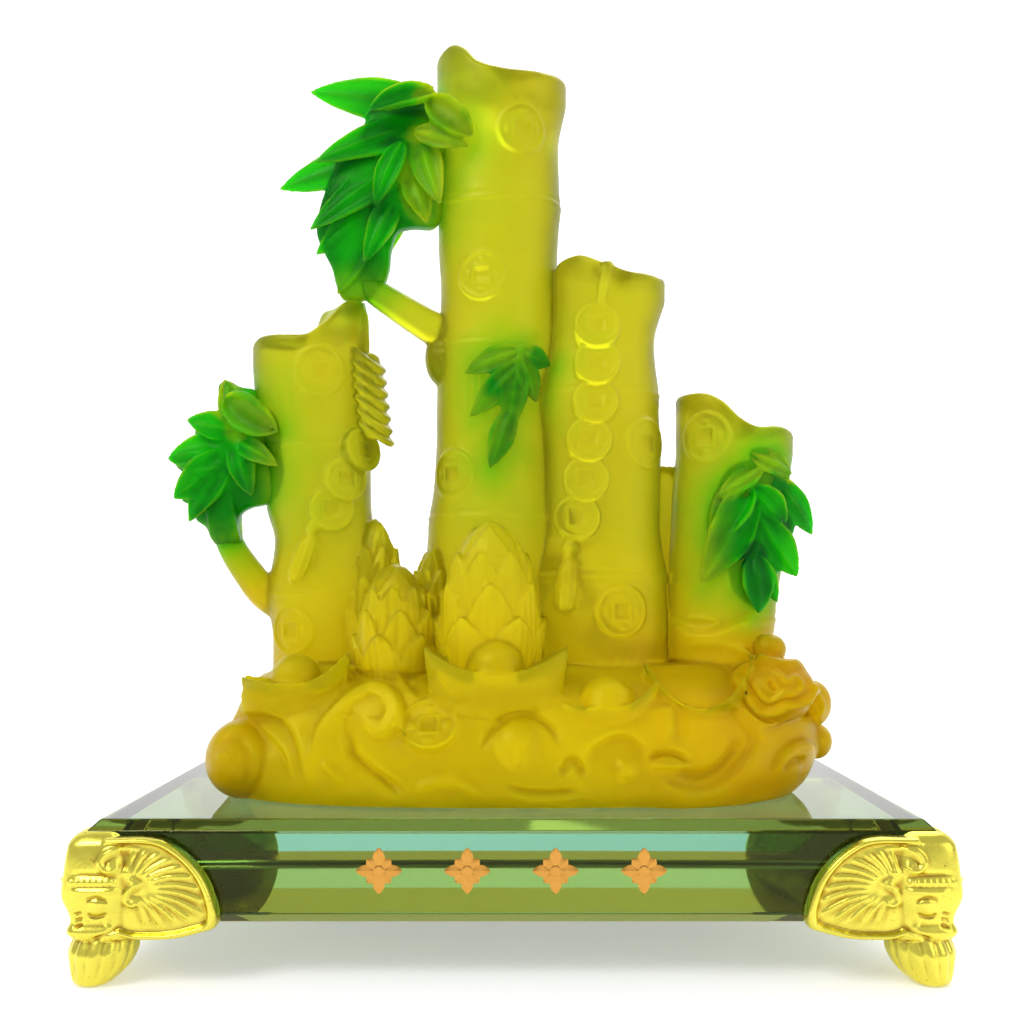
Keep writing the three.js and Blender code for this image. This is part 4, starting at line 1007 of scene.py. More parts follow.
def mound_relief(points, normals):
    """Waves on both faces of the mound."""
    x, y, z = points.T
    height = np.zeros(len(points))
    top = between(x, WAVE_TOPS)
    for sign in (1, -1):
        outward = -sign * normals[:, 1]
        pick = (z < top) & (outward > WAVE_FADE["turn"])
        weight = smooth_step((outward[pick] - WAVE_FADE["turn"]) / WAVE_FADE["turn_blur"])
        weight = weight * smooth_step((top[pick] - z[pick]) / WAVE_FADE["height"])
        height[pick] += WAVE_GAIN * weight * carved(sign * x[pick], z[pick], WAVE_LINES)
    front = (x > RIGHT_END["x"]) & (y < RIGHT_END["y"]) & (normals[:, 1] < -RIGHT_END["turn"])
    for lines, low, high in RIGHT_END_LINES:
        pick = front & (z > low) & (z < high)
        height[pick] += carved(x[pick], z[pick], lines)
    return height


def stalk_relief(points):
    """Twin lines round every joint of the stalks."""
    x, y, z = points.T
    height = np.zeros(len(points))
    for spec in STALKS.values():
        levels = np.array(spec["levels"], float)
        for ridge in spec["ridges"]:
            middle, radius = between(ridge, levels, 1), between(ridge, levels, 2)
            reach = np.hypot(x - middle, (y - spec["y"]) / STALK_FLATNESS)
            wavy = ridge + JOINT_LINE["wander"] * np.sin(2 * (x - middle) / radius + ridge)
            near = (abs(reach - radius) < JOINT_LINE["off"])
            near &= abs(z - wavy) < JOINT_LINE["reach"]
            for line, deep in JOINT_LINES:
                off = (z[near] - wavy[near] - line) / JOINT_LINE["blur"]
                height[near] -= deep * np.exp(-off ** 2)
    return height


def shoot_relief(points, normals):
    """Upright streaks on the sheaths of the shoots."""
    height = np.zeros(len(points))
    upright = smooth_step((STREAK["level"] - abs(normals[:, 2])) / STREAK["level_blur"])
    nearest = np.full(len(points), FAR_OFF)
    for spec in SHOOTS:
        foot, tall = shoot_frame(spec)
        local = points - foot
        reach = np.hypot(local[:, 0], local[:, 1])
        angle = np.arctan2(local[:, 1], local[:, 0])
        streaks = round(2 * np.pi * spec["radius"] / STREAK["width"])
        share = np.clip(local[:, 2] / tall, 0, 1)
        off = abs(reach - spec["radius"] * between(share, SHOOT_PROFILE) - STREAK["lift"])
        own = (off < STREAK["reach"]) & (off < nearest)
        own &= (local[:, 2] > STREAK["lift"]) & (local[:, 2] < tall + STREAK["lift"])
        value = STREAK["depth"] * np.cos(streaks * angle) * upright
        height = np.where(own, value, height)
        nearest = np.where(own, off, nearest)
    return height


def leaf_frame(leaf, stem):
    """Root on the twig, direction, length and the outward and sideways directions."""
    root, tip, width, roll = leaf
    far = np.linalg.norm(stem - root, axis=1)
    root = stem[np.argmin(far)] if far.min() < ROOT_REACH else np.array(root, float)
    length = np.linalg.norm(tip - root)
    along = (tip - root) / length
    out = unit(FRONT - along * (along @ FRONT))
    roll = np.radians(roll)
    out = out * np.cos(roll) + np.cross(along, out) * np.sin(roll)
    return root, along, length, out, np.cross(along, out)


def blade(leaf, stem, outline, section):
    """Pointed leaf with a rib along its middle or folded into a cup, and raised edges."""
    root, along, length, out, side = leaf_frame(leaf, stem)
    count, rows = DETAIL["blade"]
    across = np.linspace(-1, 1, count)
    rings = []
    for t in np.linspace(0, 1, rows):
        half = 0.5 * leaf[2] * between(t, outline)
        thin = LEAF_THIN[0] + LEAF_THIN[1] * (1 - t ** 3)
        middle = root + t * length * along + LEAF_BOW * np.sin(np.pi * t) * out
        top = thin * between(abs(across), section)
        under = -thin * (LEAF_UNDER[0] + LEAF_UNDER[1] * (1 - abs(across)))
        place = np.concatenate([across, across[::-1]])
        lift = np.concatenate([top, under[::-1]])
        rings.append(middle + half * place[:, None] * side + lift[:, None] * out)
    return loft(rings)


def pad(spec):
    """Pillow of folded resin behind the leaves, thin at its outline."""
    edge = smooth_curve(spec["outline"] + spec["outline"][:1], PAD_SIDES + 1)[:-1]
    middle = np.array(spec["middle"], float)
    depth, slope = spec["depth"]
    rings = []
    for turn in np.linspace(-PAD_TURN, PAD_TURN, 2 * PAD_RINGS):
        share = np.cos(0.5 * np.pi * turn)
        flat = middle + share * (edge - middle)
        bulge = np.sign(turn) * (PAD_EDGE + spec["thick"] * np.sqrt(1 - share ** 2))
        y = depth + slope * (flat[:, 0] - middle[0]) - bulge
        rings.append(ring(flat[:, 0], y, flat[:, 1]))
    return loft(rings)


def leaf_shares(points, spec, stem):
    """How dark each point is, near leaf tips and on deep leaves, and its share of yellow."""
    tips = np.zeros(len(points))
    pale = np.zeros(len(points))
    for index, leaf in enumerate(spec["leaves"]):
        root, along, length = leaf_frame(leaf, stem)[:3]
        off = np.linalg.norm(points - leaf[1], axis=1)
        tips = np.maximum(tips, np.exp(-off / LEAF_SHADE["tip"]))
        share = np.clip((points - root) @ along, 0, length)
        far = np.linalg.norm(points - root - share[:, None] * along, axis=1)
        reach = 0.5 * leaf[2] + LEAF_SHADE["margin"]
        blend = smooth_step((reach - far) / LEAF_SHADE["blur"])
        pale = np.maximum(pale, spec["pale"].get(index, 0) * blend)
        tips = np.maximum(tips, spec["deep"].get(index, 0) * blend)
    for axis, start, end, share in spec["fades"]:
        pale = np.maximum(pale, share * smooth_step((points[:, axis] - start) / (end - start)))
    return tips, pale


def outer_shade(points, spec):
    """How far out each point lies, where the clear resin looks darkest."""
    axis, start, end = spec["dark"]
    return smooth_step((points[:, axis] - start) / (end - start))


def spray(name, spec):
    """Leaves fused to their twig and to the mass of resin behind them."""
    stem = smooth_curve(spec["twig"][0], TWIG_STEPS)
    shape = Shape()
    shape.add(tube(*spec["twig"]))
    if "outline" in spec:
        shape.add(pad(spec))
    for index, leaf in enumerate(spec["leaves"]):
        cup = index in spec["cups"]
        form = (CUP_OUTLINE, CUP_SECTION) if cup else (LEAF_OUTLINE, LEAF_SECTION)
        shape.add(blade(leaf, stem, *form))
    mesh = skinned(shape, name, "spray", soften=SPRAY_SOFTENING)
    points, _ = corners(mesh)
    tips, pale = leaf_shares(points, spec, stem)
    tips = np.maximum(tips, LEAF_SHADE["outer"] * outer_shade(points, spec))
    tips = tips * (1 - LEAF_SHADE["cleared"] * pale)
    paint(mesh, "tip", tips)
    paint(mesh, "pale", pale)
    paint(mesh, "cavity", hollowness(mesh) / HOLLOW_SCALE["spray"])
    return mesh


# Elephant head foot, measured inward from the slab's corner along either edge: height of
# each level and how far it reaches outward and inward
SLAB = {"width": 164, "depth": 82, "low": 10, "high": 30, "bevel": 2.1, "round": 0.35}
SEAT_GAP = 0.3
HEAD_LEVELS = [[7.8, -2.8, 9.6], [9.2, -3.5, 8.6], [11, -2.9, 8.6], [16.5, -4.3, 9],
               [20, -4, 9], [25.6, -3.2, 8.4], [27.4, -1.9, 7], [28.1, -0.6, 6]]
TRUNK_LEVELS = [[-1.5, 1, 2.4], [-1.1, 1.1, 3.4], [-0.5, 1.3, 4.1], [2, 2.2, 5.8],
                [5, 2.7, 6.6], [8, 3.2, 6]]
EAR_HUB = [9.3, 18]
SIDE_EAR_HEIGHT = 0.8
EAR_OUTLINE = [[4.6, 27.2], [8.4, 27.3], [12, 27.3], [15.4, 26.7], [18.4, 25], [21, 22.8],
               [23.4, 19.8], [25.2, 15.8], [26, 11.8], [25.4, 10], [22.6, 9], [18.4, 8],
               [14, 7.7], [9, 8], [5, 10], [3.4, 16], [3.2, 22], [3.6, 26]]
EAR_PROFILE = [[1, -1], [1, 1.6], [0.985, 2.6], [0.955, 3.1], [0.925, 3.2], [0.9, 3],
               [0.88, 2.4], [0.86, 2], [0.7, 2.2], [0.4, 2.7], [0.15, 3]]
SHELF = {"low": 7.4, "reach": 12}
EAR_SIDES = 180
HEAD_ROWS = 60
# Folds down the trunk: how many half turns of folds, their depth, sharpness and how far up
# from the floor they fade in
TRUNK_FOLDS = {"count": 7, "depth": 0.06, "power": 6, "fade": 1.5}
FOOT_LINES = [
    ["ridge", 0.5, 0.9, [[-1.6, 17.5], [3, 17.4], [8.2, 17.6]]],
    ["groove", 0.4, 0.8, [[-1.6, 20.6], [3, 20.5], [7.4, 20.4]]],
    ["ridge", 0.7, 1.2, [[11.6, 25.1], [8.2, 25.3], [5.2, 24.4], [4.2, 22.6], [5.4, 21.1],
                         [7, 21.6], [6.6, 22.9], [5.8, 22.4]]],
    ["ridge", 0.6, 1.0, [[12.6, 19.2], [10.6, 18.2], [8.9, 17], [8.6, 15.4], [9.9, 14.5],
                         [11.1, 15.4], [10.4, 16.4]]],
    ["groove", 0.55, 0.9, [[2, 7.9], [4.6, 8.8], [8, 10.8]]],
    ["groove", 0.5, 0.7, [[-1.4, 12.6], [0.8, 13.2]]],
    ["groove", 0.5, 0.7, [[-1.4, 11.5], [0.8, 12.1]]],
    ["groove", 0.5, 0.7, [[-1.4, 10.4], [0.8, 11]]],
    ["groove", 0.45, 0.7, [[1.2, 15], [2.2, 16], [3.9, 16.2], [5.6, 15.4], [6, 14.6]]],
    ["groove", 0.45, 0.7, [[1.2, 13.4], [2.4, 12.4], [4, 12.5], [5.6, 13.4]]],
]
# Ribs that fan out from the ear's hub to its rim: the outer end of each
EAR_RIBS = [[10.2, 25.2], [12.6, 25], [15, 24.4], [17.4, 23.2], [19.6, 21.6], [21.6, 19.6],
            [23.2, 17.2], [24.2, 14.6], [24, 12], [21.6, 10.8], [18.6, 10.2], [15.4, 9.8],
            [12.6, 10]]
RIB_BEND = 0.06
EAR_RIB = {"rise": 0.42, "width": 0.75, "start": 0.22, "middle": 0.6}
# Where the foot's marks are carved: how far a face has to look outward and its blur, how far
# in from the outer face, and from where along the edge the side ear's heights count
FOOT_FACE = {"turn": 0.35, "blur": 0.4, "inside": 0.4, "ear_from": 9}
# Round studs on the foot: along the edge, height, radius and rise
FOOT_STUDS = [[8.7, 20.6, 0.9, 0.6], [10.2, 19.1, 0.9, 0.6], [3.6, 14.4, 1.5, 0.65],
              [9.9, 15.6, 0.7, 0.4], [5.9, 22, 0.7, 0.4]]
BEAD = {"radius": 0.42, "rise": 0.45, "pitch": 1.15, "z": 19.1, "from": -1.4, "to": 7}
FOOT_CORNERS = {"front_left": (1, 1), "front_right": (-1, 1), "back_left": (1, -1),
                "back_right": (-1, -1)}


def ear_ribs():
    """Curved ribs from the ear's hub to its rim."""
    hub = np.array(EAR_HUB, float)
    ribs = []
    for end in np.array(EAR_RIBS, float):
        reach = end - hub
        bend = RIB_BEND * np.array([-reach[1], reach[0]])
        path = [hub + EAR_RIB["start"] * reach + 0.5 * bend,
                hub + EAR_RIB["middle"] * reach + bend, end]
        ribs.append(["ridge", EAR_RIB["rise"], EAR_RIB["width"], path])
    return ribs


def ear(height):
    """Elephant's ear on the front face: a fan with a raised rim that dips to its middle."""
    hub = np.array(EAR_HUB, float)
    outline = smooth_curve(EAR_OUTLINE + EAR_OUTLINE[:1], EAR_SIDES + 1)[:-1]
    offset = outline - hub
    offset[:, 1] *= np.where(offset[:, 1] > 0, height, 1)
    rings = []
    for share, out in EAR_PROFILE:
        flat = hub + share * offset
        rings.append(ring(flat[:, 0], -out, flat[:, 1]))
    return loft(rings, (rings[0].mean(0), np.array([hub[0], -EAR_PROFILE[-1][1], hub[1]])))


def rounded_square(low, high, z):
    """Level ring of a square with round corners."""
    _, cos, sin = circle(DETAIL["head"])
    middle, half = (low + high) / 2, (high - low) / 2
    return ring(middle + half * np.sign(cos) * abs(cos) ** 0.5,
                middle + half * np.sign(sin) * abs(sin) ** 0.5, z)


def foot_shape():
    """Bodies of the foot, in a frame whose origin is the slab's corner."""
    shape = Shape()
    levels = np.array(HEAD_LEVELS)
    heights = np.linspace(levels[0, 0], levels[-1, 0], HEAD_ROWS)
    shape.add(loft([rounded_square(between(z, levels, 1), between(z, levels, 2), z)
                    for z in heights]))
    sides, rows = DETAIL["trunk"]
    angle, cos, sin = circle(sides)
    wave = abs(np.cos(TRUNK_FOLDS["count"] * angle))
    folds = TRUNK_FOLDS["depth"] * wave ** TRUNK_FOLDS["power"]
    low, high = TRUNK_LEVELS[0][0], TRUNK_LEVELS[-1][0]
    rings = []
    for z in np.linspace(low, high, rows):
        middle, radius = between(z, TRUNK_LEVELS, 1), between(z, TRUNK_LEVELS, 2)
        reach = radius * (1 - folds * smooth_step((z - low) / TRUNK_FOLDS["fade"]))
        rings.append(ring(middle + reach * cos, middle + reach * sin, z))
    shape.add(loft(rings))
    x, y = np.array([[0, 1, 1, 0], [0, 0, 1, 1]]) * SHELF["reach"]
    shape.add(loft([ring(x, y, z) for z in (SHELF["low"], SLAB["low"])]))
    shape.add(ear(1))
    points, faces = ear(SIDE_EAR_HEIGHT)
    shape.add((points[:, [1, 0, 2]], faces))
    return shape


def foot_relief(points, normals):
    """Scrolls, ribs, beads, eye and folds on both outer faces of the foot."""
    height = np.zeros(len(points))
    for across, outward in ((0, 1), (1, 0)):
        turn = -normals[:, outward]
        pick = (turn > FOOT_FACE["turn"]) & (points[:, outward] < FOOT_FACE["inside"])
        u, v = points[pick, across], points[pick, 2]
        if across:
            shorter = (v > EAR_HUB[1]) & (u > FOOT_FACE["ear_from"])
            v = EAR_HUB[1] + (v - EAR_HUB[1]) / np.where(shorter, SIDE_EAR_HEIGHT, 1)
        rise = carved(u, v, FOOT_LINES + ear_ribs())
        beads = [[x, BEAD["z"], BEAD["radius"], BEAD["rise"]]
                 for x in np.arange(BEAD["from"], BEAD["to"], BEAD["pitch"])]
        for x, z, radius, high in FOOT_STUDS + beads:
            rise += high * np.exp(-((u - x) ** 2 + (v - z) ** 2) / radius ** 2)
        weight = smooth_step((turn[pick] - FOOT_FACE["turn"]) / FOOT_FACE["blur"])
        height[pick] += rise * weight
    return height


def slab_shape(grow, corner=(0.0, 0.0)):
    """Slab with bevelled edges, larger by a margin, seen from a shifted origin."""
    shape = Shape()
    rings = []
    low, high, bevel = SLAB["low"] - grow, SLAB["high"] + grow, SLAB["bevel"]
    for z, inset in ((low, bevel), (low + bevel, 0), (high - bevel, 0), (high, bevel)):
        x = SLAB["width"] / 2 - inset + grow
        y = SLAB["depth"] / 2 - inset + grow
        rings.append(ring(np.array([-x, x, x, -x]) - corner[0],
                          np.array([-y, -y, y, y]) - corner[1], z))
    shape.add(loft(rings))
    return shape


def foot_mesh():
    """Front left foot, cut clear of the slab it holds."""
    corner = (-SLAB["width"] / 2, -SLAB["depth"] / 2)
    cutter = bpy.data.objects.new("cutter", slab_shape(SEAT_GAP, corner).mesh("cutter"))
    bpy.context.scene.collection.objects.link(cutter)
    mesh = skinned(foot_shape(), "foot", "foot", foot_relief, 2, cutter)
    bpy.data.objects.remove(cutter)
    points, _ = corners(mesh)
    set_corners(mesh, points + [corner[0], corner[1], 0])
    paint(mesh, "cavity", hollowness(mesh) / HOLLOW_SCALE["foot"])
    return mesh


# Gilt motif four times along the slab's front: middle of each, and a plain knot of petals
MOTIF_PLACES = [-25.6, -8.6, 8.4, 25.4]
MOTIF = {"z": 20.4, "reach": 4.4, "short": 0.72, "petals": 8, "width": 2.3, "rise": 0.22,
         "edge": 0.1, "knot": 1.1, "knot_inset": 0.3, "knot_rise": 0.08, "sunk": 0.02,
         "start": 0.12, "narrow": 0.1, "span": 0.92, "round": 0.8, "tip": 0.02}


def motif_shape():
    """Knots of eight pointed petals lying on the slab's front face."""
    shape = Shape()
    front = -SLAB["depth"] / 2
    for x in MOTIF_PLACES:
        place = facing([x, front - MOTIF["sunk"], MOTIF["z"]], FRONT)
        for k in range(MOTIF["petals"]):
            angle = 2 * np.pi * k / MOTIF["petals"]
            share = MOTIF["short"] if k % 2 else 1
            shape.add(flat_petal(place, angle, MOTIF["reach"] * share))
        knot, rise = MOTIF["knot"], MOTIF["rise"]
        top = [knot - MOTIF["knot_inset"], rise + MOTIF["knot_rise"]]
        shape.add(turned(place, [[knot, 0], [knot, rise], top], DETAIL["knot"]))
    return shape


def flat_petal(place, angle, reach):
    """Thin pointed petal."""
    outward = np.cos(angle) * place["side"] + np.sin(angle) * place["up"]
    across = -np.sin(angle) * place["side"] + np.cos(angle) * place["up"]
    rings = []
    edge = MOTIF["edge"] * place["out"]
    for t in np.linspace(MOTIF["start"], 1, DETAIL["petal"]):
        wide = np.sin(np.pi * (t - MOTIF["narrow"]) / MOTIF["span"]) ** MOTIF["round"]
        side = (0.5 * MOTIF["width"] * wide + MOTIF["tip"]) * across
        middle = place["middle"] + reach * t * outward
        rings.append([middle - side, middle - side + edge, middle + MOTIF["rise"] * place["out"],
                      middle + side + edge, middle + side])
    return loft(rings)


# Colours as linear red, green and blue
YELLOW = (0.56, 0.48, 0.010)
LIME = (0.50, 0.49, 0.010)
AMBER = (0.74, 0.56, 0.003)
ORANGE = (0.71, 0.37, 0.002)
UMBER_CREASE_SHADE = (0.52, 0.36, 0.002)
RESIN_GLINT = (1.0, 0.92, 0.15)
LEAF_GREEN = (0.001, 0.21, 0.003)
FRESH_GREEN = (0.005, 0.46, 0.003)
GLOW_GREEN = (0.05, 0.45, 0.003)
PALE_GREEN_AND_HIGHLIGHT = (0.50, 0.60, 0.008)
DEEP_GREEN_AND_SHADE = (0.001, 0.06, 0.01)
LEAF_GLINT = (0.35, 1.0, 0.25)
GOLD = (0.78, 0.69, 0.09)
GOLD_SPECK_AND_SHADE = (0.36, 0.19, 0.015)
GLASS_TINT = (0.16, 0.70, 0.48)
GLASS_CLEAR = (1.0, 1.0, 1.0)
# Painted reflections in the slab's colour, and painted shade on its top face
REFLECTED_OLIVE = (0.82, 0.38, 0.06)
REFLECTED_UPPER_EDGE = (0.71, 0.26, 0.015)
REFLECTED_LOWER_EDGE = (1.0, 0.24, 0.008)
REFLECTED_MIDDLE = (0.56, 0.48, 0.53)
TOP_PAINTED_SHADE = (0.14, 0.18, 0.045)
GLASS_GLINT = (0.66, 0.75, 0.3)
COPPER = (0.62, 0.30, 0.06)
PAPER = (0.93, 0.93, 0.925)

# Hollowness in millimetres that counts as a full crease. It drives the painted shade in creases
# and crevices, and the painted highlight on raised leaf edges.
HOLLOW_SCALE = {"resin": 0.12, "spray": 0.08, "foot": 0.06}
# Green that the casting takes from the leaves: the distance in millimetres over which it
# fades, how much that wanders, its greatest share, and the heights where it sets in
GREEN_REACH = 5.5
GREEN_WANDER = {"share": 0.25, "z": 0.5, "x": 0.4}
GREEN = {"most": 0.95, "start": 0.4, "low": 60, "rise": 8}
LEAF_POINT_STEP = 7
# Heights in metres between which amber turns to yellow, and places along x in metres
# between which amber turns to orange
AMBER_HEIGHTS = (0.058, 0.094)
ORANGE_PLACES = (0.016, 0.054)
LEFT_ORANGE_PLACES = (-0.064, -0.05)
CLEAR_HEIGHTS = (0.05, 0.13)
# Painted reflections that the slab takes from the casting, and painted shade on its top, as
# tints in bands, each from a height in metres upwards on the front and on the other sides
PAINTED_REFLECTION_BANDS = [[0.0116, 0.0116, REFLECTED_LOWER_EDGE], [0.0136, 0.0136, GLASS_CLEAR],
               [0.0137, 0.0182, REFLECTED_OLIVE], [0.0241, 0.0241, REFLECTED_MIDDLE],
               [0.0294, 0.0294, REFLECTED_UPPER_EDGE], [0.0314, 0.0314, TOP_PAINTED_SHADE]]
FRONT_FACE = (-0.0405, -0.0395)
BAND_BLUR = 0.0001

# Most of a noise's values lie in its range, and half of them in its core
NOISE_RANGE = (0.3, 0.7)
NOISE_CORE = (0.35, 0.65)
# Looks of each material. A noise has a scale, detail, roughness and, at times, a stretch. A
# bump has a strength and a depth in metres. Ranges give where a value starts and ends, then
# what it becomes there.
RESIN = {
    "spread": (1.0, 0.9, 0.1), "depth": 0.012, "index": 1.45, "gloss": 0.12,
    "grain": (900, 3, 0.6), "ripple": (110, 2, 0.5), "roughness": (0.3, 0.4),
    "ripple_bump": (0.25, 0.0004), "grain_bump": (0.08, 0.00006),
}
AMBER_LOOK = {
    "cloud": (38, 3, 0.55), "warmth": (0.2, 0.7, 1.15, 0.85),
    "streak": (60, 2, 0.5, (1, 1, 0.5)), "streak_share": (0.35, 1.0),
    "crease": (0.1, 1.2, 0.0, 0.2), "clear": (0.45, 0.85), "green_clear": (0.3, 1, 1, 0.5),
}
LEAF_LOOK = {
    "cloud": (70, 3, 0.55), "patch": (0.3, 0.6), "rim": (-1.6, -0.3, 0.14, 0.0),
    "dark": (0.2, 0.9, 0.0, 0.9), "crease": (0.1, 1.3, 0.0, 0.6), "clear": 0.25,
}
GOLD_LOOK = {
    "crease": (0.1, 1.0), "blotch": (260, 4, 0.6), "shade_patch_share": (0.6, 1.0),
    "speck": (1400, 2, 0.5), "speck_share": (0.68, 0.74, 0.0, 0.7), "roughness": (0.16, 0.32),
    "wave": (420, 3, 0.6), "wave_bump": (0.3, 0.00012), "grain": (2600, 2, 0.5),
    "grain_bump": (0.12, 0.00004),
}
GLASS_LOOK = {
    "index": 1.5, "smear": (30, 4, 0.6), "roughness": (0.4, 0.75, 0.012, 0.07),
    "wave": (14, 1, 0.4), "wave_bump": (0.05, 0.0002), "density": 22.0,
}
PAPER_LOOK = {"roughness": 0.8, "gloss": 0.2, "glow": 0.34}

# Backdrop in metres: half its width, its front edge, its wall, the wall's top and the bend
BACKDROP = {"half": 3.0, "front": -2.0, "back": 0.9, "top": 2.4, "bend": 0.5, "steps": 24}
# Lamps: place and size in metres and power in watts; all aim at the object's middle
LAMPS = {
    "key": [(-0.5, -0.55, 0.75), 0.4, 3.7],
    "fill": [(0.7, -0.5, 0.4), 0.6, 1.2],
    "back": [(0.2, 0.45, 0.75), 0.6, 2.4],
}
LAMP_AIM = (0, 0, 0.09)
SKY_STRENGTH = 0.62
BOUNCES = {"max": 6, "diffuse": 2, "glossy": 3, "transmission": 6}


class Nodes:
    """Short way to build one material's nodes."""

    def __init__(self, name):
        self.material = bpy.data.materials.new(name)
        self.material.use_nodes = True
        self.tree = self.material.node_tree
        self.shader = self.tree.nodes["Principled BSDF"]
        self.output = self.tree.nodes["Material Output"]

    def node(self, kind, **settings):
        made = self.tree.nodes.new(kind)
        for key, value in settings.items():
            setattr(made, key, value)
        return made

    def link(self, source, target):
        self.tree.links.new(source, target)

    def put(self, value, socket):
        """Set a socket to a plain value or link it to another socket."""
        if isinstance(value, bpy.types.NodeSocket):
            self.link(value, socket)
        elif isinstance(value, tuple) and len(value) == 3 and socket.type == "RGBA":
            socket.default_value = (*value, 1.0)
        else:
            socket.default_value = value

    def attribute(self, name):
        return self.node("ShaderNodeAttribute", attribute_name=name).outputs["Fac"]

    def mix(self, share, first, second):
        made = self.node("ShaderNodeMix", data_type="RGBA")
        self.put(share, made.inputs["Factor"])
        self.put(first, made.inputs["A"])
        self.put(second, made.inputs["B"])
        return made.outputs["Result"]

    def math(self, operation, first, second=0.0, clamp=False):
        made = self.node("ShaderNodeMath", operation=operation, use_clamp=clamp)
        self.put(first, made.inputs[0])
        self.put(second, made.inputs[1])
        return made.outputs[0]

    def noise(self, scale, detail=2.0, roughness=0.5, stretch=(1, 1, 1)):
        place = self.node("ShaderNodeTexCoord").outputs["Object"]
        mapping = self.node("ShaderNodeMapping")
        mapping.inputs["Scale"].default_value = stretch
        self.link(place, mapping.inputs["Vector"])
        made = self.node("ShaderNodeTexNoise")
        made.inputs["Scale"].default_value = scale
        made.inputs["Detail"].default_value = detail
        made.inputs["Roughness"].default_value = roughness
        self.link(mapping.outputs["Vector"], made.inputs["Vector"])
        return made.outputs["Fac"]

    def span(self, value, low, high, to_low=0.0, to_high=1.0):
        made = self.node("ShaderNodeMapRange")
        self.put(value, made.inputs["Value"])
        for key, number in zip(("From Min", "From Max", "To Min", "To Max"),
                               (low, high, to_low, to_high)):
            made.inputs[key].default_value = number
        return made.outputs["Result"]

    def bump(self, height, strength, distance, base=None):
        made = self.node("ShaderNodeBump")
        made.inputs["Strength"].default_value = strength
        made.inputs["Distance"].default_value = distance
        self.link(height, made.inputs["Height"])
        if base:
            self.link(base, made.inputs["Normal"])
        return made.outputs["Normal"]


def resin_surface(nodes, colour, glint, scatter, through):
    """Frosted resin: light passes and spreads, and fine grain breaks the gloss."""
    shader = nodes.shader.inputs
    nodes.put(colour, shader["Base Color"])
    nodes.put(glint, shader["Specular Tint"])
    shader["Subsurface Weight"].default_value = scatter
    shader["Subsurface Radius"].default_value = RESIN["spread"]
    shader["Subsurface Scale"].default_value = RESIN["depth"]
    nodes.put(through, shader["Transmission Weight"])
    shader["IOR"].default_value = RESIN["index"]
    shader["Specular IOR Level"].default_value = RESIN["gloss"]
    grain = nodes.noise(*RESIN["grain"])
    nodes.put(nodes.span(grain, *NOISE_RANGE, *RESIN["roughness"]), shader["Roughness"])
    broad = nodes.bump(nodes.noise(*RESIN["ripple"]), *RESIN["ripple_bump"])
    nodes.put(nodes.bump(grain, *RESIN["grain_bump"], broad), shader["Normal"])


def amber_material():
    """Casting: yellow above, amber and orange at the base, green beside the leaves, with painted
    shade darkening its creases towards umber.
    """
    nodes, look = Nodes("amber_resin"), AMBER_LOOK
    place = nodes.node("ShaderNodeSeparateXYZ")
    nodes.link(nodes.node("ShaderNodeTexCoord").outputs["Object"], place.inputs[0])
    across, height = place.outputs["X"], place.outputs["Z"]
    cloud = nodes.noise(*look["cloud"])
    upper = nodes.mix(nodes.span(cloud, *NOISE_CORE), YELLOW, LIME)
    low = nodes.span(height, *AMBER_HEIGHTS, 1.0, 0.0)
    warm = nodes.math("MULTIPLY", low, nodes.span(cloud, *look["warmth"]), clamp=True)
    sides = nodes.math("MAXIMUM", nodes.span(across, *ORANGE_PLACES),
                       nodes.span(across, *LEFT_ORANGE_PLACES, 1.0, 0.0))
    streaks = nodes.span(nodes.noise(*look["streak"]), *NOISE_RANGE, *look["streak_share"])
    ember = nodes.math("MULTIPLY", nodes.math("MULTIPLY", sides, low), streaks)
    glow = nodes.mix(ember, nodes.mix(warm, upper, AMBER), ORANGE)
    green = nodes.attribute("tint")
    greened = nodes.mix(green, glow, GLOW_GREEN)
    # Painted shade: creases darken towards umber.
    crease = nodes.span(nodes.attribute("cavity"), *look["crease"])
    clear = nodes.span(height, *CLEAR_HEIGHTS, *look["clear"])
    through = nodes.math("MULTIPLY", clear, nodes.span(green, *look["green_clear"]))
    resin_surface(nodes, nodes.mix(crease, greened, UMBER_CREASE_SHADE), RESIN_GLINT, 1.0, through)
    return nodes.material


def leaf_material():
    """Leaves: clear green, yellow where it thins out, dark at the tips, with painted shade in
    the folds and painted highlights on raised edges.
    """
    nodes, look = Nodes("green_resin"), LEAF_LOOK
    cloud, cavity = nodes.noise(*look["cloud"]), nodes.attribute("cavity")
    fresh = nodes.mix(nodes.span(cloud, *NOISE_CORE), LEAF_GREEN, FRESH_GREEN)
    patch = nodes.math("MULTIPLY", nodes.attribute("pale"), nodes.span(cloud, *look["patch"]))
    mixed = nodes.mix(patch, fresh, PALE_GREEN_AND_HIGHLIGHT)
    # Painted highlight: raised edges lighten towards pale green. The same colour also serves the
    # leaves' real yellowing patches.
    rim = nodes.span(cavity, *look["rim"])
    dark = nodes.span(nodes.attribute("tip"), *look["dark"])
    tipped = nodes.mix(dark, nodes.mix(rim, mixed, PALE_GREEN_AND_HIGHLIGHT), DEEP_GREEN_AND_SHADE)
    # Painted shade: folds darken towards deep green.
    colour = nodes.mix(nodes.span(cavity, *look["crease"]), tipped, DEEP_GREEN_AND_SHADE)
    resin_surface(nodes, colour, LEAF_GLINT, 1.0, look["clear"])
    return nodes.material


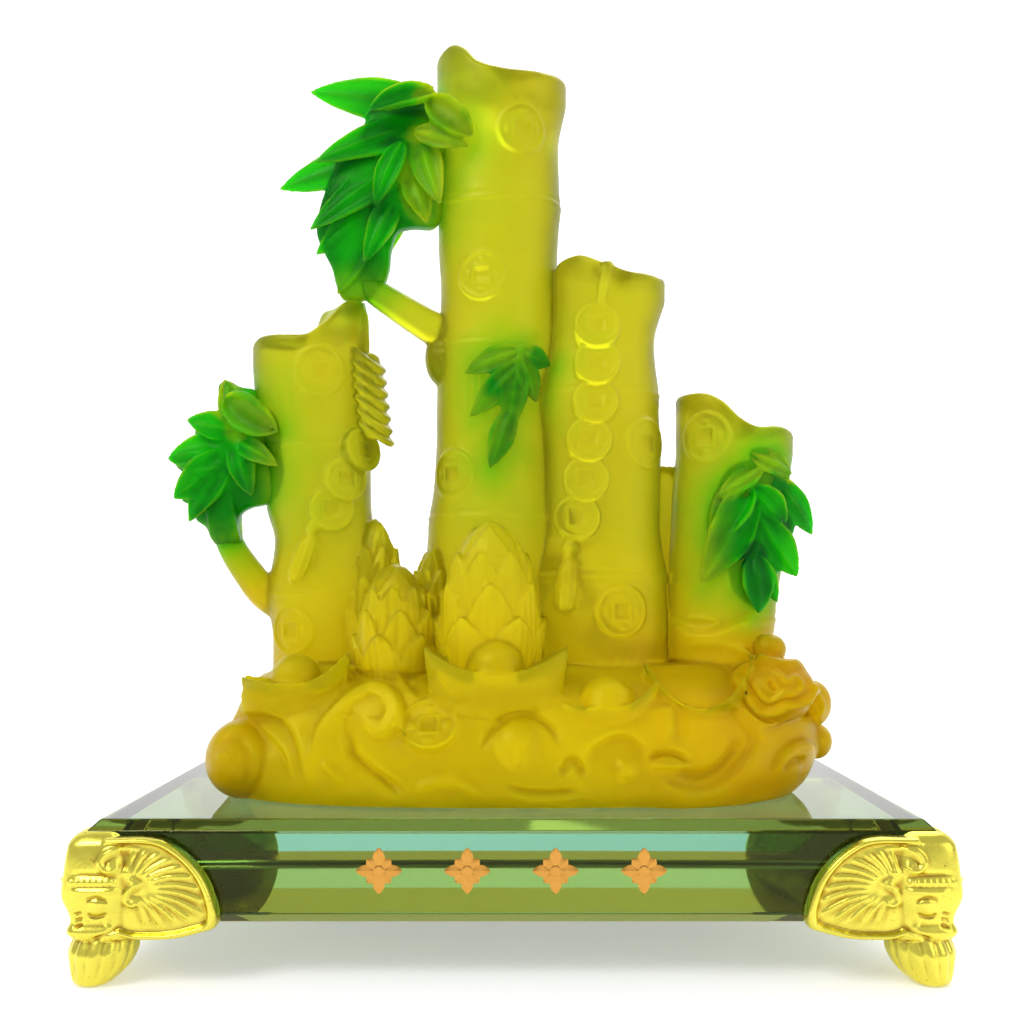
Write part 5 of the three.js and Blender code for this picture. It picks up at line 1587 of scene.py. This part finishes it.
def gold_material(name, bright):
    """Bright plating with dark specks, and painted shade, brown and patchy, in the crevices."""
    nodes, look = Nodes(name), GOLD_LOOK
    shader = nodes.shader.inputs
    # Painted shade: crevices darken towards brown in blotchy patches, and the same brown marks
    # the specks.
    crease = nodes.span(nodes.attribute("cavity"), *look["crease"])
    blotch = nodes.noise(*look["blotch"])
    speck = nodes.span(nodes.noise(*look["speck"]), *look["speck_share"])
    shade_patches = nodes.span(blotch, *NOISE_RANGE, *look["shade_patch_share"])
    crevice_shade = nodes.math("MULTIPLY", crease, shade_patches)
    plated = nodes.mix(crevice_shade, bright, GOLD_SPECK_AND_SHADE)
    nodes.put(nodes.mix(speck, plated, GOLD_SPECK_AND_SHADE), shader["Base Color"])
    shader["Metallic"].default_value = 1.0
    nodes.put(nodes.span(blotch, *NOISE_RANGE, *look["roughness"]), shader["Roughness"])
    broad = nodes.bump(nodes.noise(*look["wave"]), *look["wave_bump"])
    grain = nodes.bump(nodes.noise(*look["grain"]), *look["grain_bump"], broad)
    nodes.put(grain, shader["Normal"])
    return nodes.material


def glass_material():
    """Clear glass, faintly green through its thickness, with traces of handling, its colour
    tinted in bands by painted reflections of the casting and by painted shade on the top.
    """
    nodes, look = Nodes("slab_glass"), GLASS_LOOK
    shader = nodes.shader.inputs
    place = nodes.node("ShaderNodeSeparateXYZ")
    nodes.link(nodes.node("ShaderNodeTexCoord").outputs["Object"], place.inputs[0])
    # Painted reflections and painted shade on the top, laid on the glass's colour in bands.
    tint = GLASS_CLEAR
    side = nodes.span(place.outputs["Y"], *FRONT_FACE)
    for front, rest, colour in PAINTED_REFLECTION_BANDS:
        level = nodes.span(side, 0.0, 1.0, front, rest)
        above = nodes.math("SUBTRACT", place.outputs["Z"], level)
        tint = nodes.mix(nodes.span(above, -BAND_BLUR, BAND_BLUR), tint, colour)
    nodes.put(tint, shader["Base Color"])
    shader["Transmission Weight"].default_value = 1.0
    shader["IOR"].default_value = look["index"]
    nodes.put(GLASS_GLINT, shader["Specular Tint"])
    smear = nodes.noise(*look["smear"])
    nodes.put(nodes.span(smear, *look["roughness"]), shader["Roughness"])
    nodes.put(nodes.bump(nodes.noise(*look["wave"]), *look["wave_bump"]), shader["Normal"])
    inside = nodes.node("ShaderNodeVolumeAbsorption")
    nodes.put(GLASS_TINT, inside.inputs["Color"])
    inside.inputs["Density"].default_value = look["density"]
    nodes.link(inside.outputs["Volume"], nodes.output.inputs["Volume"])
    return nodes.material


def paper_material():
    """Plain pale floor."""
    nodes = Nodes("pale_floor")
    shader = nodes.shader.inputs
    nodes.put(PAPER, shader["Base Color"])
    shader["Roughness"].default_value = PAPER_LOOK["roughness"]
    shader["Specular IOR Level"].default_value = PAPER_LOOK["gloss"]
    nodes.put((1.0, 1.0, 1.0), shader["Emission Color"])
    shader["Emission Strength"].default_value = PAPER_LOOK["glow"]
    return nodes.material


def paint_casting(mesh, leaf_points):
    """Shares of green, and of crease for the painted shade, at each point of a resin piece."""
    points, _ = corners(mesh)
    tree = KDTree(len(leaf_points))
    for index, point in enumerate(leaf_points):
        tree.insert(point, index)
    tree.balance()
    far = np.array([tree.find(point)[2] for point in points])
    wander = np.sin(GREEN_WANDER["z"] * points[:, 2]) * np.sin(GREEN_WANDER["x"] * points[:, 0])
    reach = GREEN_REACH * (1 + GREEN_WANDER["share"] * wander)
    above = smooth_step((points[:, 2] - GREEN["low"]) / GREEN["rise"])
    fade = np.exp(-np.maximum(far - GREEN["start"], 0) / reach)
    paint(mesh, "tint", GREEN["most"] * above * fade)
    paint(mesh, "cavity", hollowness(mesh) / HOLLOW_SCALE["resin"])


def casting_relief(points, normals):
    """All the carved detail of the casting."""
    height = mound_relief(points, normals) + stalk_relief(points)
    return height + shoot_relief(points, normals) + coin_relief(points, normals)


def casting_mesh():
    """Mound, stalks, branches, shoots, ingots, flower and coins under one skin."""
    shape = Shape()
    shape.add(mound())
    for spec in STALKS.values():
        shape.add(stalk(spec))
    for spec in BRANCHES.values():
        shape.add(tube(spec["points"], spec["radii"], "branch"))
    for spec in SHOOTS:
        for body in shoot(spec):
            shape.add(body)
    for spec in INGOTS:
        shape.add(ingot(spec))
        if spec["dome"]:
            shape.add(ball(spec["x"], spec["y"], spec["dip"] + INGOT["dome_lift"], spec["dome"]))
    for spec in [SWELLING] + BALLS:
        shape.add(ball(*spec))
    for place, radius, face, bend in coin_places():
        back = COIN_BACK["stalk" if bend else "other"]
        shape.add(coin(place, radius, back, face, bend))
    for body in edge_coins():
        shape.add(body)
    for points in (MIDDLE_CORD, LEFT_CORD):
        shape.add(tube(points, CORD_RADII))
    for top, bottom in TASSELS:
        shape.add(tassel(top, bottom))
    return skinned(shape, "bamboo_casting_skin", "casting", casting_relief, 3)


def backdrop():
    """Floor that curves up into a wall behind the object."""
    back, bend = BACKDROP["back"], BACKDROP["bend"]
    turn = np.linspace(0, np.pi / 2, BACKDROP["steps"])
    profile = [[BACKDROP["front"], 0.0]]
    profile += [[back - bend + bend * np.sin(t), bend - bend * np.cos(t)] for t in turn]
    profile += [[back, BACKDROP["top"]]]
    points = [[side * BACKDROP["half"], y, z] for y, z in profile for side in (-1, 1)]
    faces = [[2 * k, 2 * k + 1, 2 * k + 3, 2 * k + 2] for k in range(len(profile) - 1)]
    mesh = bpy.data.meshes.new("floor")
    mesh.from_pydata(points, [], faces)
    mesh.shade_smooth()
    made = bpy.data.objects.new("floor", mesh)
    mesh.materials.append(paper_material())
    bpy.context.scene.collection.objects.link(made)


def lamp(name, place, size, power):
    """Soft square light aimed at the object."""
    data = bpy.data.lights.new(name, "AREA")
    data.size = size
    data.energy = power
    made = bpy.data.objects.new(name, data)
    made.location = place
    aim = Vector(LAMP_AIM) - Vector(place)
    made.rotation_euler = aim.to_track_quat("-Z", "Y").to_euler()
    bpy.context.scene.collection.objects.link(made)


def studio():
    """Camera, lights and picture settings."""
    scene = bpy.context.scene
    data = bpy.data.cameras.new("camera")
    data.lens = CAMERA_LENS
    data.shift_y = CAMERA_SHIFT
    data.clip_start = CAMERA_CLIP
    camera = bpy.data.objects.new("camera", data)
    camera.location = CAMERA_PLACE
    camera.rotation_euler = (np.pi / 2, 0, 0)
    scene.collection.objects.link(camera)
    scene.camera = camera
    for name, spec in LAMPS.items():
        lamp(name, *spec)
    world = bpy.data.worlds.new("world")
    world.use_nodes = True
    sky = world.node_tree.nodes["Background"].inputs
    sky["Color"].default_value = (1, 1, 1, 1)
    sky["Strength"].default_value = SKY_STRENGTH
    scene.world = world
    scene.view_settings.view_transform = "Standard"
    scene.cycles.use_denoising = True
    scene.cycles.use_light_tree = False
    scene.cycles.max_bounces = BOUNCES["max"]
    scene.cycles.diffuse_bounces = BOUNCES["diffuse"]
    scene.cycles.glossy_bounces = BOUNCES["glossy"]
    scene.cycles.transmission_bounces = BOUNCES["transmission"]


def resin_pieces():
    """Leaf sprays, and the casting with their green on it."""
    amber, green = amber_material(), leaf_material()
    leaf_points = []
    for name, spec in SPRAYS.items():
        mesh = spray(name + "_skin", spec)
        points, _ = corners(mesh)
        leaf_points.append(points[::LEAF_POINT_STEP])
        piece(name + "_skin", mesh, green, "green_resin", name)
    mesh = casting_mesh()
    paint_casting(mesh, np.vstack(leaf_points))
    piece("bamboo_casting_skin", mesh, amber, "amber_resin", "bamboo_casting")


def foot_pieces():
    """Four feet, mirrored from the front left one."""
    gold = gold_material("gilt_metal", GOLD)
    mesh = foot_mesh()
    for name, (along_x, along_y) in FOOT_CORNERS.items():
        mirrored = mesh.copy()
        mirrored.transform(Matrix.Diagonal((along_x, along_y, 1, 1)))
        if along_x * along_y < 0:
            mirrored.flip_normals()
        piece("foot_" + name + "_skin", mirrored, gold, "gilt_metal", "foot_" + name)


def slab_pieces():
    """Bevelled glass slab and the gilt motifs on its front."""
    bevel = {"width": SLAB["round"] * MM, "segments": 3, "limit_method": "ANGLE"}
    slab = baked(slab_shape(0).mesh("glass"), ("BEVEL", bevel))
    piece("glass_slab_body", slab, glass_material(), "slab_glass", "glass_slab")
    copper = gold_material("copper_gilt", COPPER)
    piece("gilt_motifs", motif_shape().mesh("motifs"), copper, "gilt_metal")


resin_pieces()
foot_pieces()
slab_pieces()
backdrop()
studio()
